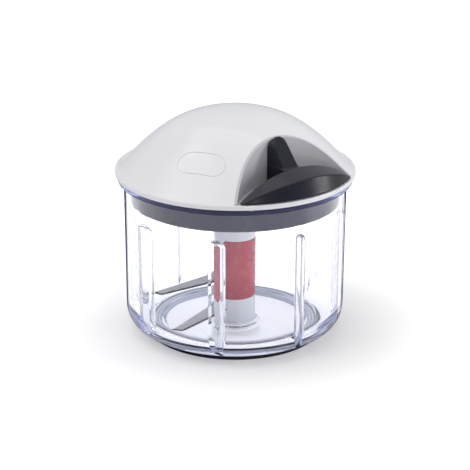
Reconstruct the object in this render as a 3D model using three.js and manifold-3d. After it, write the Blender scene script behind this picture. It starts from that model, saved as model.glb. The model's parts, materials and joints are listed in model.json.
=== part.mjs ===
// Hand-pulled food chopper: a clear bowl, a two-blade unit on its centre pin, and a domed lid
// that holds the pull-cord drive. Millimetres, +Z up. The origin is on the bowl's axis, on the
// surface it stands on, and the handle pulls out to the front, which is -Y.
import * as THREE from "three";
import Module from "manifold-3d";
import { mergeVertices } from "three/addons/utils/BufferGeometryUtils.js";

const wasm = await Module();
wasm.setup();

// Facets round a full turn
const gripFacets = 100; // the handle's front face
const recessFacets = 80;
const wideFacets = 44;
const midFacets = 24;
const smallFacets = 14;
const screwFacets = 10;

// Fits
const seatGap = 0.3; // between pieces that rest on or locate each other
const turnGap = 0.6; // between pieces that turn or slide past each other

// Bowl
const bowlRadius = 64.3; // outside, where the bottom corner meets the wall
const bowlDraft = 0.7; // extra radius at the rim
const bowlWall = 2.6;
const bowlCorner = 13.4; // outside radius of the bottom corner
const cornerLift = 1; // the corner starts this much above the underside, so the ring below it shows
const bowlInnerCorner = 12.5;
const bowlRim = 96.6; // height of the rim
const flangeWidth = 3.6;
const flangeHeight = 3.2;
const floorThickness = 2.6;
const floorDiscRadius = 41; // flat middle of the floor
const floorStep = 2.5; // the ring round the disc stands this much higher
const floorLedge = 0.9; // and the foot of the inner corner this much above the ring
const pinBossRadius = 6.4;
const pinBossHeight = 2.4;
const pinSeat = 1.4; // floor left under the pin

// Wall ribs: slanted hollow folds of the bowl wall, open below on the outside
const ribCount = 8;
const ribFirst = -49; // degrees from the front, positive towards +X
const ribSlant = 45; // degrees from the radial line
const ribLength = 7.8; // from the outside of the wall to the rib's edge
const ribThickness = 4.6;
const ribWall = 1.1;
const ribHeadroom = 4.2; // from its top to the lid's housing
const ribShoulder = 8; // rounding of the top inner corner

// Non-slip ring under the bowl
const footRadius = 50;
const footWidth = 6;
const footHeight = 4;
const footProud = 1.8; // how far it stands out under the bowl

// Centre pin and blade unit
const pinRadius = 2.5;
const pinTop = 24;
const pinClearance = 0.4; // round the pin in the tube that runs on it
const tubeWall = 1.4;
const shaftRadius = 12.25;
const shaftBottom = 5;
const shaftWall = 1.9;
const shaftHollow = 8; // depth of the open bottom
const shaftHeadroom = 0.8; // from its shoulder to the underside of the lid's housing
const sleeveBottom = 21;
const sleeveTop = 57.5;
const sleeveWall = 1.5;
const driveFlats = 11; // across the corners of the hexagonal drive end
const driveLength = 10;
const bladeGap = 2.6; // between its tip and the wall ribs
const bladeThickness = 1.2;
const bladeTipHalf = 3; // half width at the tip
const bladeTipCut = 2.4; // slant of the tip
const bladeEdgeInset = 1.25; // cutting edge inside the shaft's radius, level with its axis
const bladeRoot = 4;
const bladeDiscInset = 3.25; // root disc inside the shaft's radius
const bladeBevel = 2.2; // width of the ground edge
const lowerBladeHeight = 14.5;
const lowerBladeAngle = -76;
const upperBladeHeight = 32.5;
const upperBladeAngle = -94;

// Lid dome
const lidOverhang = 1.4; // its lip beyond the bowl's flange
const lipHeight = 2.7;
const lipLedge = 1.5; // the lip stands out this much from the dome
const domeHeadroom = 13.4; // its top above the bearing plate
const domeWall = 2.4;
const domeShoulder = 2.65; // exponents of the dome's curve
const domeCrown = 1.22;

// Recess for the handle, an upright cylindrical wall behind a flat floor
const recessRadius = 57.2;
const recessReach = 36.8; // the wall's nearest point to the axis
const recessWall = 1.3;
const recessFloor = 1.2;

// Handle
const handleInset = 0.7; // its front face behind the lid's edge, at the bottom
const handleLean = 0.2; // how much the front face leans in per millimetre of height
const fingerGap = 17.9; // from the recess wall to its straight back edge
const handleRise = 13.3; // height of the back edge above the handle's underside
const handleCrown = 68; // radius of the arch of its top, seen from the front
const handleSlope = 0.254; // rise of the top from front to back
const fingerHollow = 9; // depth radius of the scoop behind the grip
const fingerHollowLength = 84;
const tipGap = 1.6; // between the handle's tips and the recess wall
const knotRadius = 3;
const knotSetback = 10.6; // from the recess wall to the middle of the cord's knot
const pocketGap = 0.6; // round the knot
const coverThickness = 1.6;
const finHalf = 7; // half width at the recess wall
const finSpineFoot = 5.2; // half width of its spine at the grip
const finSpineTop = 4.1;
const finRound = 5.5; // height of its rounded top
const finTop = 127;

// Housing under the dome
const skirtGap = 1.4; // between its skirt and the bowl's rim
const skirtDepth = 15.4; // how far it hangs below the bowl's rim
const housingWall = 2.2;
const housingFlange = 1.4;
const screwHead = 3;
const screwHeadHeight = 1.6;
const screwShank = 1.3;
const screwLength = 12;
const screwFloor = 1.8; // left above a screw's head

// Reel, spring and drive
const reelFlangeRadius = 27;
const reelFlange = 1.4;
const drumRadius = 19;
const cordDiameter = 2.2;
const eyeletRadius = 3.4;
const eyeletFlange = 1;
const cordRise = 5.9; // the cord's height above the handle's underside
const woundDepth = 2.6;
const grooveHeight = 5.2;
const springCupDepth = 7.2;
const springTurns = 5;
const springThickness = 0.7;
const axleRadius = 3;
const couplingRadius = 9.6;
const couplingShoulder = 13;
const bushWall = 1.4;
const bushFlange = 1.6;
const clipThickness = 0.9;
const postRadius = 3.7;
const postGap = 2.3; // between the posts and the reel
const bossRadius = 4;
const bossInset = 13; // from the skirt's outside to the middle of a boss
const plateThickness = 2.5;
const plateGap = 0.8; // over the spring cup

// Heights and places that follow
const bowlUnder = footProud;
const floorTop = bowlUnder + floorThickness;
const ringTop = floorTop + floorStep;
const cornerR = bowlRadius - bowlCorner;
const cornerZ = bowlUnder + cornerLift + bowlCorner;
const rimRadius = bowlRadius + bowlDraft;
const flangeRadius = rimRadius + flangeWidth;
const ribFoot = bowlRadius - 0.6; // where a rib's middle meets the wall
const lidRadius = flangeRadius + lidOverhang;
const lipBottom = bowlRim + seatGap;
const lipTop = lipBottom + lipHeight;
const domeRadius = lidRadius - lipLedge;
const lipInner = domeRadius - domeWall;
const recessCentre = -(recessReach + recessRadius);
const flangeTop = lipBottom + housingFlange;
const recessBase = flangeTop + seatGap;
const recessTop = recessBase + recessFloor;
const handleBottom = recessTop + seatGap;
const handleFront = lidRadius - handleInset;
const handleBack = recessReach + fingerGap;
const housingRadius = rimRadius - bowlWall - skirtGap;
const housingBottom = bowlRim - skirtDepth;
const housingFloor = housingBottom + housingWall;
const shaftTop = housingBottom - shaftHeadroom;
const cordHeight = handleBottom + cordRise;
const drumBottom = cordHeight - grooveHeight / 2;
const drumTop = cordHeight + grooveHeight / 2;
const reelBottom = drumBottom - reelFlange;
const cupFloor = drumTop + reelFlange;
const cupTop = cupFloor + springCupDepth;
const postTop = cupTop + plateGap;
const plateTop = postTop + plateThickness;
const postCircle = reelFlangeRadius + postGap + postRadius;
const bossCircle = housingRadius - bossInset;
const domeApex = plateTop + domeHeadroom;
const domeRise = domeApex - lipTop;
const bossDepth = screwHeadHeight + seatGap + screwFloor; // housing bosses that take the screw heads
const postBottom = housingBottom + bossDepth + seatGap;
const woundRadius = drumRadius + seatGap + woundDepth;
const runRadius = woundRadius + seatGap + cordDiameter / 2;
const eyeletBore = cordDiameter / 2 + turnGap;
const eyeletBack = -recessReach + recessWall + seatGap + eyeletFlange;
const ribTop = housingBottom - ribHeadroom;
const bladeRootEdge = shaftRadius - bladeEdgeInset;
const bladeDiscRadius = shaftRadius - bladeDiscInset;
const boreRadius = pinRadius + pinClearance;
const boreTube = boreRadius + tubeWall;
const sleeveInner = shaftRadius - sleeveWall;
const couplingBore = couplingRadius + turnGap;
const bushOuter = couplingBore + bushWall;
const bushFlangeTop = housingFloor + seatGap + bushFlange;
const clipTop = postTop - seatGap;
const knotY = -(recessReach + knotSetback);

const finish = {
  clear: { color: 0xdfe4f5, roughness: 0.05, metalness: 0, transparent: true, opacity: 0.35 },
  white: { color: 0xe9e9ec, roughness: 0.25, metalness: 0 },
  greyInsert: { color: 0xa5a6aa, roughness: 0.45, metalness: 0 },
  charcoal: { color: 0x3c3d42, roughness: 0.35, metalness: 0 },
  darkGrey: { color: 0x55575c, roughness: 0.4, metalness: 0 },
  red: { color: 0xb3364a, roughness: 0.35, metalness: 0 },
  steel: { color: 0xc4c6c9, roughness: 0.25, metalness: 1 },
  springSteel: { color: 0x6d6f73, roughness: 0.35, metalness: 1 },
  rubber: { color: 0x1c1c1f, roughness: 0.8, metalness: 0 },
  natural: { color: 0xd9d8d0, roughness: 0.45, metalness: 0 },
  brass: { color: 0xb59a57, roughness: 0.35, metalness: 1 },
  cord: { color: 0xf1f0ec, roughness: 0.9, metalness: 0 },
};

const rad = THREE.MathUtils.degToRad;

// Direction in plan at an angle from the front
function heading(angle) {
  return new THREE.Vector2(Math.sin(rad(angle)), -Math.cos(rad(angle)));
}

// three.js geometry to a solid, with its shared vertices merged and its faces pointing out
function toSolid(geometry) {
  const bare = geometry.clone();
  bare.deleteAttribute("normal");
  bare.deleteAttribute("uv");
  const merged = mergeVertices(bare, 1e-4);
  const index = merged.index.array;
  const triVerts = [];
  for (let i = 0; i < index.length; i += 3) {
    const [a, b, c] = [index[i], index[i + 1], index[i + 2]];
    if (a !== b && b !== c && a !== c) triVerts.push(a, b, c);
  }
  const vertProperties = new Float32Array(merged.attributes.position.array);
  const make = (verts) => new wasm.Manifold(
    new wasm.Mesh({ numProp: 3, vertProperties, triVerts: new Uint32Array(verts) }));
  const solid = make(triVerts);
  if (solid.volume() > 0) return solid;
  const flipped = [];
  for (let i = 0; i < triVerts.length; i += 3) {
    flipped.push(triVerts[i], triVerts[i + 2], triVerts[i + 1]);
  }
  return make(flipped);
}

function toGeometry(solid) {
  const { vertProperties, triVerts } = solid.getMesh();
  const geometry = new THREE.BufferGeometry();
  geometry.setAttribute("position", new THREE.BufferAttribute(vertProperties, 3));
  geometry.setIndex(new THREE.BufferAttribute(triVerts, 1));
  return geometry;
}

// A closed profile of [radius, height] points turned about Z
function revolve(profile, segments) {
  const points = profile.map(([r, z]) => new THREE.Vector2(r, z));
  const first = points[0];
  const last = points[points.length - 1];
  if (first.x > 0 || last.x > 0) points.push(first.clone());
  return toSolid(new THREE.LatheGeometry(points, segments).rotateX(Math.PI / 2));
}

function cylinder(radius, bottom, top, segments, x = 0, y = 0) {
  const geometry = new THREE.CylinderGeometry(radius, radius, top - bottom, segments);
  return toSolid(geometry.rotateX(Math.PI / 2).translate(x, y, (bottom + top) / 2));
}

function block(xs, ys, zs) {
  const geometry = new THREE.BoxGeometry(xs[1] - xs[0], ys[1] - ys[0], zs[1] - zs[0]);
  geometry.translate((xs[0] + xs[1]) / 2, (ys[0] + ys[1]) / 2, (zs[0] + zs[1]) / 2);
  return toSolid(geometry);
}

// An outline of [x, y] points, or a Shape, pulled up from one height to another
function prism(outline, bottom, top, curveSegments = 12) {
  const shape = outline instanceof THREE.Shape ? outline : polygon(outline);
  const geometry = new THREE.ExtrudeGeometry(shape, {
    depth: top - bottom, bevelEnabled: false, curveSegments,
  });
  return geometry.translate(0, 0, bottom);
}

function polygon(points) {
  return new THREE.Shape(points.map(([x, y]) => new THREE.Vector2(x, y)));
}

// Points on an arc, in degrees from the +r axis
function arc(centreR, centreZ, radius, from, to, steps) {
  const points = [];
  for (let i = 0; i <= steps; i += 1) {
    const angle = rad(from + ((to - from) * i) / steps);
    points.push([centreR + radius * Math.cos(angle), centreZ + radius * Math.sin(angle)]);
  }
  return points;
}

function joinAll(solids) {
  return solids.reduce((whole, piece) => whole.add(piece));
}

// Bowl -----------------------------------------------------------------------

function footGroove() {
  return [footRadius - footWidth - seatGap, footRadius + seatGap, footHeight + seatGap];
}

function bowlShell() {
  const [grooveIn, grooveOut, grooveTop] = footGroove();
  const start = THREE.MathUtils.radToDeg(Math.asin((grooveOut - cornerR) / bowlCorner)) - 90;
  const innerR = bowlRadius - bowlWall - bowlInnerCorner;
  const innerZ = ringTop + floorLedge + bowlInnerCorner;
  const flangeBottom = bowlRim - flangeHeight;
  const pinHole = pinRadius + seatGap;
  return revolve([
    [0, bowlUnder],
    [grooveIn, bowlUnder],
    [grooveIn, grooveTop],
    [grooveOut, grooveTop],
    ...arc(cornerR, cornerZ, bowlCorner, start, 0, 5),
    [rimRadius, flangeBottom - 1],
    [rimRadius + 1, flangeBottom],
    [flangeRadius, flangeBottom],
    [flangeRadius, bowlRim - 0.6],
    [flangeRadius - 0.6, bowlRim],
    [rimRadius - bowlWall, bowlRim],
    ...arc(innerR, innerZ, bowlInnerCorner, 0, -90, 4),
    [innerR - floorLedge * 0.7, ringTop],
    [floorDiscRadius + floorStep * 0.7, ringTop],
    [floorDiscRadius, floorTop],
    [pinBossRadius + 0.8, floorTop],
    [pinBossRadius, floorTop + pinBossHeight],
    [pinHole, floorTop + pinBossHeight],
    [pinHole, bowlUnder + pinSeat],
    [0, bowlUnder + pinSeat],
  ], wideFacets);
}

// One rib's solid or hollow: a tongue pointing inwards with a rounded edge and top corner
function ribForm(angle, length, thickness, bottom, top, shoulder) {
  const half = thickness / 2;
  const plan = new THREE.Shape();
  plan.moveTo(0, -half);
  plan.lineTo(length - half, -half);
  plan.absarc(length - half, 0, half, -Math.PI / 2, Math.PI / 2, false);
  plan.lineTo(0, half);
  plan.closePath();
  const side = new THREE.Shape();
  side.moveTo(0, bottom);
  side.lineTo(length, bottom);
  side.lineTo(length, top - shoulder);
  side.absellipse(length - shoulder * 0.8, top - shoulder, shoulder * 0.8, shoulder, 0, Math.PI / 2);
  side.lineTo(0, top);
  side.closePath();
  const upright = toSolid(prism(plan, bottom, top, 4));
  const across = new THREE.ExtrudeGeometry(side, {
    depth: thickness + 2, bevelEnabled: false, curveSegments: 4,
  });
  across.rotateX(Math.PI / 2).translate(0, half + 1, 0);
  const form = upright.intersect(toSolid(across));
  const foot = heading(angle).multiplyScalar(ribFoot);
  const inward = angle + 180 - ribSlant;
  return form.rotate([0, 0, inward - 90]).translate([foot.x, foot.y, 0]);
}

function bowl() {
  let shell = bowlShell();
  const cavity = revolve([
    [0, 0], [bowlRadius + 0.4, 0], [bowlRadius + 0.4, bowlRim], [0, bowlRim],
  ], wideFacets);
  const cornerFill = revolve([
    ...arc(cornerR, cornerZ, bowlCorner - 0.6, -90, 0, 5),
    [bowlRadius - 0.6, bowlRim - flangeHeight],
    [cornerR, bowlRim - flangeHeight],
  ], wideFacets);
  const bottom = bowlUnder + 0.8;
  for (let i = 0; i < ribCount; i += 1) {
    const angle = ribFirst + (360 / ribCount) * i;
    const fold = ribForm(angle, ribLength, ribThickness, bottom, ribTop, ribShoulder);
    shell = shell.add(fold.intersect(cornerFill).intersect(cavity));
  }
  for (let i = 0; i < ribCount; i += 1) {
    const angle = ribFirst + (360 / ribCount) * i;
    const groove = ribForm(angle, ribLength - ribWall, ribThickness - 2 * ribWall, bottom,
      ribTop - ribWall, ribShoulder - ribWall);
    const mouth = ribForm(angle, 4, ribThickness - 2 * ribWall, bottom, ribTop - ribWall, 1.2);
    const out = heading(angle + 180 - ribSlant).multiplyScalar(-3);
    shell = shell.subtract(groove.add(mouth.translate([out.x, out.y, 0])));
  }
  return shell;
}

function baseRing() {
  const inner = footRadius - footWidth;
  return revolve([
    [inner + 0.8, 0], [footRadius - 0.8, 0], [footRadius, 0.8], [footRadius, footHeight],
    [inner, footHeight], [inner, 0.8],
  ], wideFacets);
}

function centrePin() {
  const bottom = bowlUnder + pinSeat + seatGap;
  return revolve([
    [0, bottom], [pinRadius, bottom], [pinRadius, pinTop - 1.4], [pinRadius - 1, pinTop - 0.3],
    [0, pinTop],
  ], smallFacets);
}

// Blade unit -----------------------------------------------------------------

// The blades reach almost to the innermost line of the ribs' rounded edges
const edgeCentre = new THREE.Vector2(ribFoot, 0).sub(
  new THREE.Vector2(ribLength - ribThickness / 2, 0).rotateAround(new THREE.Vector2(), rad(ribSlant)));
const bladeReach = edgeCentre.length() - ribThickness / 2 - bladeGap;

// Plan of one blade, pointing along +X: a long straight cutting edge and a plain back
function bladeOutline(growth) {
  const slope = (bladeRootEdge - bladeTipHalf) / bladeReach;
  return [
    [bladeRoot, -bladeRootEdge + slope * bladeRoot - growth],
    [bladeReach + growth, -bladeTipHalf - growth],
    [bladeReach - bladeTipCut + growth, bladeTipHalf + growth],
    [bladeRoot, bladeTipHalf + growth],
  ];
}

// Flat blade with a root disc round the pin's tube and one ground edge
function blade(height, angle, growth) {
  const low = height - bladeThickness / 2 - growth;
  const high = height + bladeThickness / 2 + growth;
  const disc = cylinder(bladeDiscRadius + growth, low, high, midFacets);
  let solid = toSolid(prism(bladeOutline(growth), low, high)).add(disc);
  solid = solid.subtract(cylinder(boreTube + seatGap - growth, low - 1, high + 1, smallFacets));
  if (growth === 0) {
    const lean = Math.atan((bladeRootEdge - bladeTipHalf) / bladeReach);
    const edge = polygon([[-1, 0.2], [0, 0.2], [bladeBevel, bladeThickness], [bladeBevel, 2], [-1, 2]]);
    const ground = new THREE.ExtrudeGeometry(edge, { depth: bladeReach, bevelEnabled: false });
    ground.rotateX(Math.PI / 2).rotateZ(Math.PI / 2).rotateZ(lean); // along the cutting edge
    ground.translate(shaftRadius, -bladeRootEdge + shaftRadius * Math.tan(lean), low);
    solid = solid.subtract(toSolid(ground));
  }
  return solid.rotate([0, 0, angle - 90]);
}

function bladeSlots() {
  return blade(upperBladeHeight, upperBladeAngle, seatGap)
    .add(blade(lowerBladeHeight, lowerBladeAngle, seatGap));
}

function hexagon(corners, bottom, top) {
  return cylinder(corners / 2, bottom, top, 6);
}

function bladeShaft() {
  const hollowR = shaftRadius - shaftWall;
  const hollowTop = shaftBottom + shaftHollow;
  const body = revolve([
    [0, pinTop + 2],
    [boreRadius, pinTop + 2],
    [boreRadius, floorTop + pinBossHeight + turnGap],
    [boreTube, floorTop + pinBossHeight + turnGap],
    [boreTube, hollowTop],
    [hollowR, hollowTop],
    [hollowR, shaftBottom],
    [shaftRadius + 0.7, shaftBottom],
    [shaftRadius + 0.7, shaftBottom + 1.2],
    [shaftRadius, shaftBottom + 1.8],
    [shaftRadius, sleeveBottom - seatGap],
    [sleeveInner - seatGap, sleeveBottom - seatGap],
    [sleeveInner - seatGap, sleeveTop + seatGap],
    [shaftRadius, sleeveTop + seatGap],
    [shaftRadius, shaftTop - 0.8],
    [shaftRadius - 0.8, shaftTop],
    [0, shaftTop],
  ], midFacets);
  const drive = hexagon(driveFlats, shaftTop - 2, shaftTop + driveLength);
  return body.add(drive).subtract(bladeSlots());
}

function shaftSleeve() {
  const sleeve = revolve([
    [sleeveInner, sleeveBottom], [shaftRadius, sleeveBottom], [shaftRadius, sleeveTop],
    [sleeveInner, sleeveTop],
  ], midFacets);
  return sleeve.subtract(bladeSlots());
}

// Lid shells -----------------------------------------------------------------

// Height of the dome, or of a like surface the given depth inside it
function domeHeight(radius, depth) {
  const share = Math.min(radius / (domeRadius - depth), 1);
  return lipTop + (domeRise - depth) * (1 - share ** domeShoulder) ** domeCrown;
}

// Profile of the dome from its edge to the top
function domeCurve(depth, steps) {
  const points = [];
  for (let i = steps; i >= 0; i -= 1) {
    const radius = (domeRadius - depth) * Math.sin((Math.PI / 2) * (i / steps));
    points.push([radius, domeHeight(radius, depth)]);
  }
  points[points.length - 1][0] = 0;
  return points;
}

function recessCylinder(radius, bottom, top) {
  return cylinder(radius, bottom, top, recessFacets, 0, recessCentre);
}

const dividedCircle = (count, first) => Array.from({ length: count }, (_, i) => first + (360 / count) * i);
const bossAngles = [-100, 100, 180];
const postAngles = dividedCircle(3, 60);

function lidDome() {
  const inner = domeCurve(domeWall, 5).reverse();
  const shell = revolve([
    [lidRadius - 0.6, lipBottom],
    [lidRadius, lipBottom + 0.6],
    [lidRadius, lipTop - 0.8],
    [lidRadius - 0.7, lipTop],
    ...domeCurve(0, 9),
    ...inner,
    [lipInner, lipBottom],
  ], wideFacets);
  const under = revolve([[0, housingBottom], [lipInner, housingBottom], ...domeCurve(domeWall / 2, 6)], midFacets);
  const bosses = bossAngles.map((angle) => {
    const place = heading(angle).multiplyScalar(bossCircle);
    return cylinder(bossRadius, postBottom, domeApex, smallFacets, place.x, place.y).intersect(under);
  });
  const pilots = bossAngles.map((angle) => {
    const place = heading(angle).multiplyScalar(bossCircle);
    return cylinder(screwShank + seatGap, postBottom - 1, postBottom + screwLength, screwFacets, place.x, place.y);
  });
  const recess = recessCylinder(recessRadius + recessWall + seatGap, lipTop, domeApex + 1);
  return shell.add(joinAll(bosses)).subtract(joinAll(pilots)).subtract(recess);
}

// Grey insert: floor and upright wall of the recess, its top edge flush with the dome
function handleRecess() {
  const floorRadius = lipInner - seatGap;
  const envelope = revolve([
    [0, recessBase],
    [floorRadius, recessBase],
    [floorRadius, lipTop + seatGap],
    ...domeCurve(0, 9).filter(([, z]) => z > lipTop + seatGap),
  ], wideFacets);
  const outside = recessCylinder(recessRadius + recessWall, recessBase - 1, domeApex);
  const inside = recessCylinder(recessRadius, recessTop, domeApex + 1);
  const holeRadius = eyeletRadius + seatGap;
  const eyeletHole = toSolid(new THREE.CylinderGeometry(holeRadius, holeRadius, 10, smallFacets)
    .translate(0, -recessReach, cordHeight));
  return envelope.intersect(outside).subtract(inside).subtract(eyeletHole);
}

// Guide for the cord in the recess wall, flanged on the inside
function cordEyelet() {
  const front = -recessReach;
  const back = eyeletBack - eyeletFlange;
  const points = [
    [eyeletBore + 0.5, front], [eyeletRadius, front], [eyeletRadius, back],
    [eyeletRadius + 1.6, back], [eyeletRadius + 1.6, eyeletBack], [eyeletBore, eyeletBack],
    [eyeletBore, front + 0.5],
  ].map(([r, y]) => new THREE.Vector2(r, y));
  points.push(points[0].clone());
  return toSolid(new THREE.LatheGeometry(points, smallFacets).translate(0, 0, cordHeight));
}

function ringOfBosses(circle, angles, radius, bottom, top, segments) {
  return joinAll(angles.map((angle) => {
    const place = heading(angle).multiplyScalar(circle);
    return cylinder(radius, bottom, top, segments, place.x, place.y);
  }));
}

function driveHousing() {
  const bushHole = bushOuter + seatGap;
  const inner = housingRadius - housingWall;
  let cup = revolve([
    [bushHole, housingBottom],
    [housingRadius - 1.5, housingBottom],
    [housingRadius - 0.4, housingBottom + 0.5],
    [housingRadius, housingBottom + 1.6],
    [housingRadius, lipBottom],
    [lipInner - seatGap, lipBottom],
    [lipInner - seatGap, flangeTop],
    [inner, flangeTop],
    [inner, housingFloor + 1],
    [inner - 1, housingFloor],
    [bushHole, housingFloor],
  ], wideFacets);
  const spots = [[postCircle, postAngles], [bossCircle, bossAngles]];
  for (const [circle, angles] of spots) {
    cup = cup.add(ringOfBosses(circle, angles, screwHead + screwFloor, housingFloor - 1,
      housingBottom + bossDepth, smallFacets));
    cup = cup.subtract(ringOfBosses(circle, angles, screwHead + seatGap, housingBottom - 1,
      housingBottom + screwHeadHeight + seatGap, smallFacets));
    cup = cup.subtract(ringOfBosses(circle, angles, screwShank + seatGap, housingBottom - 1,
      housingBottom + bossDepth + 1, screwFacets));
  }
  return cup;
}

function screw(circle, angle) {
  const place = heading(angle).multiplyScalar(circle);
  const top = housingBottom + screwHeadHeight;
  return revolve([
    [0, housingBottom + 0.2], [screwHead - 0.4, housingBottom + 0.2], [screwHead, housingBottom + 0.6],
    [screwHead, top], [screwShank, top], [screwShank, top + screwLength - 1], [0, top + screwLength],
  ], screwFacets).translate([place.x, place.y, 0]);
}

// Drive ----------------------------------------------------------------------

function couplingBush() {
  return revolve([
    [couplingBore, housingBottom + 0.3], [bushOuter, housingBottom + 0.3],
    [bushOuter, housingFloor + seatGap], [couplingShoulder + 1, housingFloor + seatGap],
    [couplingShoulder + 1, bushFlangeTop], [couplingBore, bushFlangeTop],
  ], midFacets);
}

// Turns with the reel and takes the blade unit's hexagonal end in its socket
function driveCoupling() {
  const bottom = shaftTop + turnGap + 0.4;
  const shoulder = bushFlangeTop + seatGap;
  const top = reelBottom - seatGap;
  const body = revolve([
    [0, bottom], [couplingRadius - 0.5, bottom], [couplingRadius, bottom + 0.5],
    [couplingRadius, shoulder], [couplingShoulder, shoulder], [couplingShoulder, shoulder + 2],
    [couplingRadius, shoulder + 4], [couplingRadius, top - 2], [couplingShoulder, top - 1.6],
    [couplingShoulder, top], [axleRadius + turnGap, top], [axleRadius + turnGap, top - 6],
    [0, top - 6],
  ], midFacets);
  const socket = hexagon(driveFlats + 2 * turnGap, bottom - 1, shaftTop + driveLength + turnGap);
  return body.subtract(socket);
}

function cordReel() {
  const cupOuter = reelFlangeRadius - 1.8;
  const hub = axleRadius + turnGap + 1.8;
  return revolve([
    [axleRadius + turnGap, reelBottom],
    [reelFlangeRadius, reelBottom],
    [reelFlangeRadius, drumBottom],
    [drumRadius, drumBottom],
    [drumRadius, drumTop],
    [reelFlangeRadius, drumTop],
    [reelFlangeRadius, cupFloor],
    [cupOuter, cupFloor],
    [cupOuter, cupTop],
    [cupOuter - 1.4, cupTop],
    [cupOuter - 1.4, cupFloor],
    [hub, cupFloor],
    [hub, cupTop - 1],
    [axleRadius + turnGap, cupTop - 1],
  ], midFacets);
}

// Turns of cord lying on the drum, as one ring with a bump for each turn
function woundCord() {
  const inner = drumRadius + seatGap;
  const bottom = drumBottom + seatGap;
  const height = grooveHeight - 2 * seatGap;
  const turns = 2;
  const profile = [[inner, bottom + height], [inner, bottom]];
  for (let i = 0; i < turns; i += 1) {
    const centre = bottom + (height * (i + 0.5)) / turns;
    profile.push(...arc(woundRadius - height / turns / 2, centre, height / turns / 2, -80, 80, 3));
  }
  return revolve(profile, midFacets);
}

// Flat spiral spring in the reel's cup
function returnSpring() {
  const innerRadius = axleRadius + turnGap + 3;
  const outerRadius = reelFlangeRadius - 4.4;
  const perTurn = 12;
  const steps = springTurns * perTurn;
  const along = (shift) => Array.from({ length: steps + 1 }, (_, i) => {
    const angle = (2 * Math.PI * i) / perTurn;
    const radius = innerRadius + ((outerRadius - innerRadius) * i) / steps + shift;
    return [radius * Math.cos(angle), radius * Math.sin(angle)];
  });
  const outline = [...along(0), ...along(springThickness).reverse()];
  return toSolid(prism(outline, cupFloor + seatGap, cupTop - 1));
}

function bearingPlate() {
  const arms = postAngles.map((angle) => {
    const end = heading(angle).multiplyScalar(postCircle);
    const arm = block([0, postCircle], [-postRadius, postRadius], [postTop, plateTop]);
    const post = cylinder(postRadius, postBottom, plateTop, smallFacets, end.x, end.y);
    const pilot = cylinder(screwShank + seatGap, postBottom - 1, postBottom + screwLength, screwFacets, end.x, end.y);
    return arm.rotate([0, 0, angle - 90]).add(post).subtract(pilot);
  });
  const hub = cylinder(10, postTop, plateTop, smallFacets);
  const bore = cylinder(axleRadius + seatGap, postTop - 1, plateTop + 1, smallFacets);
  return joinAll([hub, ...arms]).subtract(bore);
}

function reelAxle() {
  const bottom = reelBottom - seatGap - 5;
  const head = plateTop + seatGap;
  const groove = clipTop - clipThickness - seatGap;
  return revolve([
    [0, bottom], [axleRadius - 0.6, bottom], [axleRadius, bottom + 0.6],
    [axleRadius, groove], [axleRadius - 0.7, groove], [axleRadius - 0.7, clipTop],
    [axleRadius, clipTop], [axleRadius, head], [axleRadius + 2.4, head],
    [axleRadius + 2.4, head + 0.9], [axleRadius + 1.8, head + 1.3], [0, head + 1.3],
  ], smallFacets);
}

// Open retaining clip in the axle's groove
function axleClip() {
  const inner = axleRadius - 0.4;
  const outer = axleRadius + 2.4;
  const top = clipTop - 0.1;
  const bottom = top - clipThickness;
  const ring = revolve([[inner, bottom], [outer, bottom], [outer, top], [inner, top]], smallFacets);
  const mouth = inner - 0.7; // half its opening, narrower than the axle
  return ring.subtract(block([-mouth, mouth], [0, outer + 1], [bottom - 1, top + 1]));
}

// Where the cord leaves the reel for the eyelet
function cordRun() {
  const start = new THREE.Vector3(0, eyeletBack + cordDiameter / 2 + seatGap, cordHeight);
  const lean = Math.acos(runRadius / -start.y);
  const leave = new THREE.Vector3(
    -runRadius * Math.sin(lean), -runRadius * Math.cos(lean), cordHeight);
  const radius = cordDiameter / 2;
  const section = new THREE.Shape();
  section.absarc(0, 0, radius, 0, Math.PI * 2);
  const path = new THREE.LineCurve3(start, leave);
  return toSolid(new THREE.ExtrudeGeometry(section, {
    extrudePath: path, steps: 1, curveSegments: 10, bevelEnabled: false,
  }));
}

// Handle ---------------------------------------------------------------------

const pocketHalf = knotRadius + pocketGap;
const pocket = {
  xs: [-pocketHalf, pocketHalf],
  ys: [knotY - pocketHalf, knotY + pocketHalf],
  top: cordHeight + pocketHalf,
};

// Crescent grip: cylindrical front, straight scooped back and an arched, sloping top
function gripBody() {
  const height = handleRise + 6;
  const front = revolve([
    [0, handleBottom],
    [handleFront - 0.5, handleBottom],
    [handleFront, handleBottom + 0.5],
    [handleFront - handleLean * height, handleBottom + height],
    [0, handleBottom + height],
  ], gripFacets);
  const half = 50;
  const archTop = handleBottom + handleRise;
  const arch = new THREE.Shape();
  const reach = Math.asin(half / handleCrown);
  arch.moveTo(-half, handleBottom - 20);
  arch.lineTo(half, handleBottom - 20);
  arch.absarc(0, archTop - handleCrown, handleCrown, Math.PI / 2 - reach, Math.PI / 2 + reach, false);
  arch.closePath();
  const deep = 40;
  const vault = new THREE.ExtrudeGeometry(arch, { depth: deep, bevelEnabled: false, curveSegments: 40 });
  vault.rotateX(Math.PI / 2); // depth now runs to -Y
  const shear = new THREE.Matrix4().set(
    1, 0, 0, 0, 0, 1, 0, 0, 0, handleSlope, 1, 0, 0, 0, 0, 1);
  vault.applyMatrix4(shear);
  vault.translate(0, -handleBack, 0);
  const within = recessCylinder(recessRadius - tipGap, handleBottom - 1, handleBottom + height);
  const scoop = toSolid(new THREE.SphereGeometry(1, 36, 18)
    .scale(fingerHollowLength / 2, fingerHollow, fingerHollow)
    .translate(0, -handleBack + fingerHollow * 0.56, handleBottom + handleRise * 0.37));
  return front.intersect(toSolid(vault)).intersect(within).subtract(scoop);
}

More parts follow.
